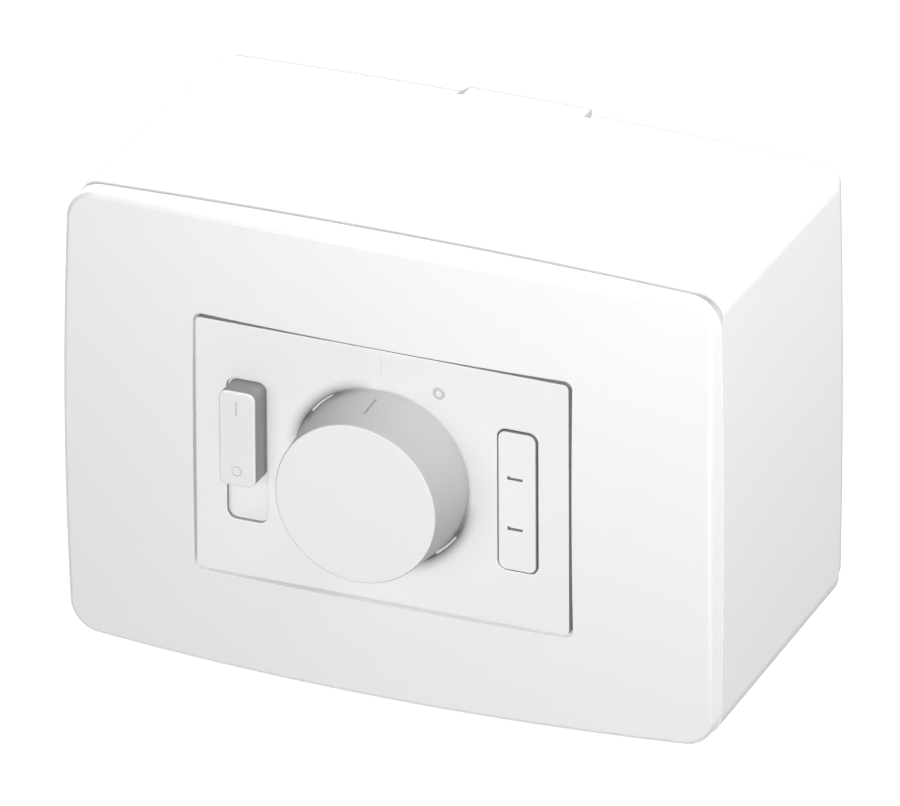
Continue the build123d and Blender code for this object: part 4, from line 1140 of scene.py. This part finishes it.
def add_surroundings(settings):
    """Even light all round, and plain white where a view or a reflection passes the floor."""
    world = bpy.data.worlds.new("Studio")
    world.use_nodes = True
    tree = world.node_tree
    tree.nodes.clear()
    strength = add_node(tree, RANGE, (seen_directly(tree), 0.0, 1.0, settings.ambient, 1.0))
    light = add_node(tree, "ShaderNodeBackground", {"Color": (1, 1, 1, 1), "Strength": strength})
    add_node(tree, "ShaderNodeOutputWorld", {"Surface": light})
    bpy.context.scene.world = world


def add_lamp(name, target, direction, distance, size, power):
    """A square soft lamp that looks at a point."""
    light = bpy.data.lights.new(name, "AREA")
    light.shape = "SQUARE"
    light.size = size
    light.energy = power
    lamp = bpy.data.objects.new(name, light)
    towards = Vector(direction).normalized()
    lamp.location = target + towards * distance
    lamp.rotation_mode = "QUATERNION"
    lamp.rotation_quaternion = (-towards).to_track_quat("-Z", "Y")
    bpy.context.scene.collection.objects.link(lamp)
    return lamp


def soften_key(lamp):
    """Keep the front parts' own shadows off each other, as in a picture lit from all sides."""
    group = bpy.data.collections.new("Unshaded")
    for node in UNSHADED:
        group.objects.link(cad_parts[node])
    lamp.light_linking.blocker_collection = group
    for member in group.collection_objects:
        member.light_linking.link_state = "EXCLUDE"


def add_camera(settings, face):
    """Camera that puts the middle of the panel's face on its place in the picture."""
    az, el, roll = settings.azimuth, settings.elevation, settings.roll
    right = Vector((cos(az), sin(az), 0))
    up = Vector((-sin(az) * sin(el), cos(az) * sin(el), cos(el)))
    back = Vector((sin(az) * cos(el), -cos(az) * cos(el), sin(el)))
    right_turned = right * cos(roll) - up * sin(roll)
    up_turned = right * sin(roll) + up * cos(roll)
    element = MM / settings.scale
    across = (IMAGE_WIDTH / 2 - settings.panel_x) * element
    rise = (settings.panel_y - IMAGE_HEIGHT / 2) * element
    target = face + right_turned * across + up_turned * rise
    distance = IMAGE_WIDTH * element * settings.lens / SENSOR
    data = bpy.data.cameras.new("Camera")
    data.lens = settings.lens
    data.sensor_width = SENSOR
    data.clip_start = distance / 2
    data.clip_end = distance * 3
    camera = bpy.data.objects.new("Camera", data)
    turn = Matrix((right_turned, up_turned, back)).transposed().to_4x4()
    camera.matrix_world = Matrix.Translation(target + back * distance) @ turn
    bpy.context.scene.collection.objects.link(camera)
    bpy.context.scene.camera = camera


# Panel and registration

STEPS = (
    "fancontrol.housing", "fancontrol.knob", "fancontrol.slider", "fancontrol.inside",
    "fancontrol.panel_marks", "fancontrol.slider_marks", "fancontrol.winding", "fancontrol.threads",
    "fancontrol.stage",
)


class FANCONTROL_PT_panel(bpy.types.Panel):
    """The unit's steps, colours, marks and stage."""

    bl_label = "Fan control unit"
    bl_idname = "FANCONTROL_PT_panel"
    bl_space_type = "VIEW_3D"
    bl_region_type = "UI"
    bl_category = "Fan control"

    def draw(self, context):
        scene = context.scene
        for step in STEPS:
            self.layout.operator(step)
        groups = (scene.fan_control_colours, scene.fan_control_marks, scene.fan_control_studio)
        for group in groups:
            box = self.layout.box()
            for name in group.__annotations__:
                box.prop(group, name)


CLASSES = (
    FanControlMarks, FanControlColours, FanControlStudio,
    FANCONTROL_OT_housing, FANCONTROL_OT_knob, FANCONTROL_OT_slider, FANCONTROL_OT_inside,
    FANCONTROL_OT_panel_marks, FANCONTROL_OT_slider_marks, FANCONTROL_OT_winding,
    FANCONTROL_OT_threads, FANCONTROL_OT_stage, FANCONTROL_PT_panel,
)


def register():
    for cls in CLASSES:
        bpy.utils.register_class(cls)
    bpy.types.Scene.fan_control_marks = PointerProperty(type=FanControlMarks)
    bpy.types.Scene.fan_control_colours = PointerProperty(type=FanControlColours)
    bpy.types.Scene.fan_control_studio = PointerProperty(type=FanControlStudio)


def unregister():
    del bpy.types.Scene.fan_control_marks
    del bpy.types.Scene.fan_control_colours
    del bpy.types.Scene.fan_control_studio
    for cls in reversed(CLASSES):
        bpy.utils.unregister_class(cls)


def main():
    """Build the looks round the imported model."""
    register()
    bpy.context.scene.view_settings.view_transform = "Standard"
    for step in STEPS:
        group, name = step.split(".")
        getattr(getattr(bpy.ops, group), name)()


if __name__ == "__main__":
    main()
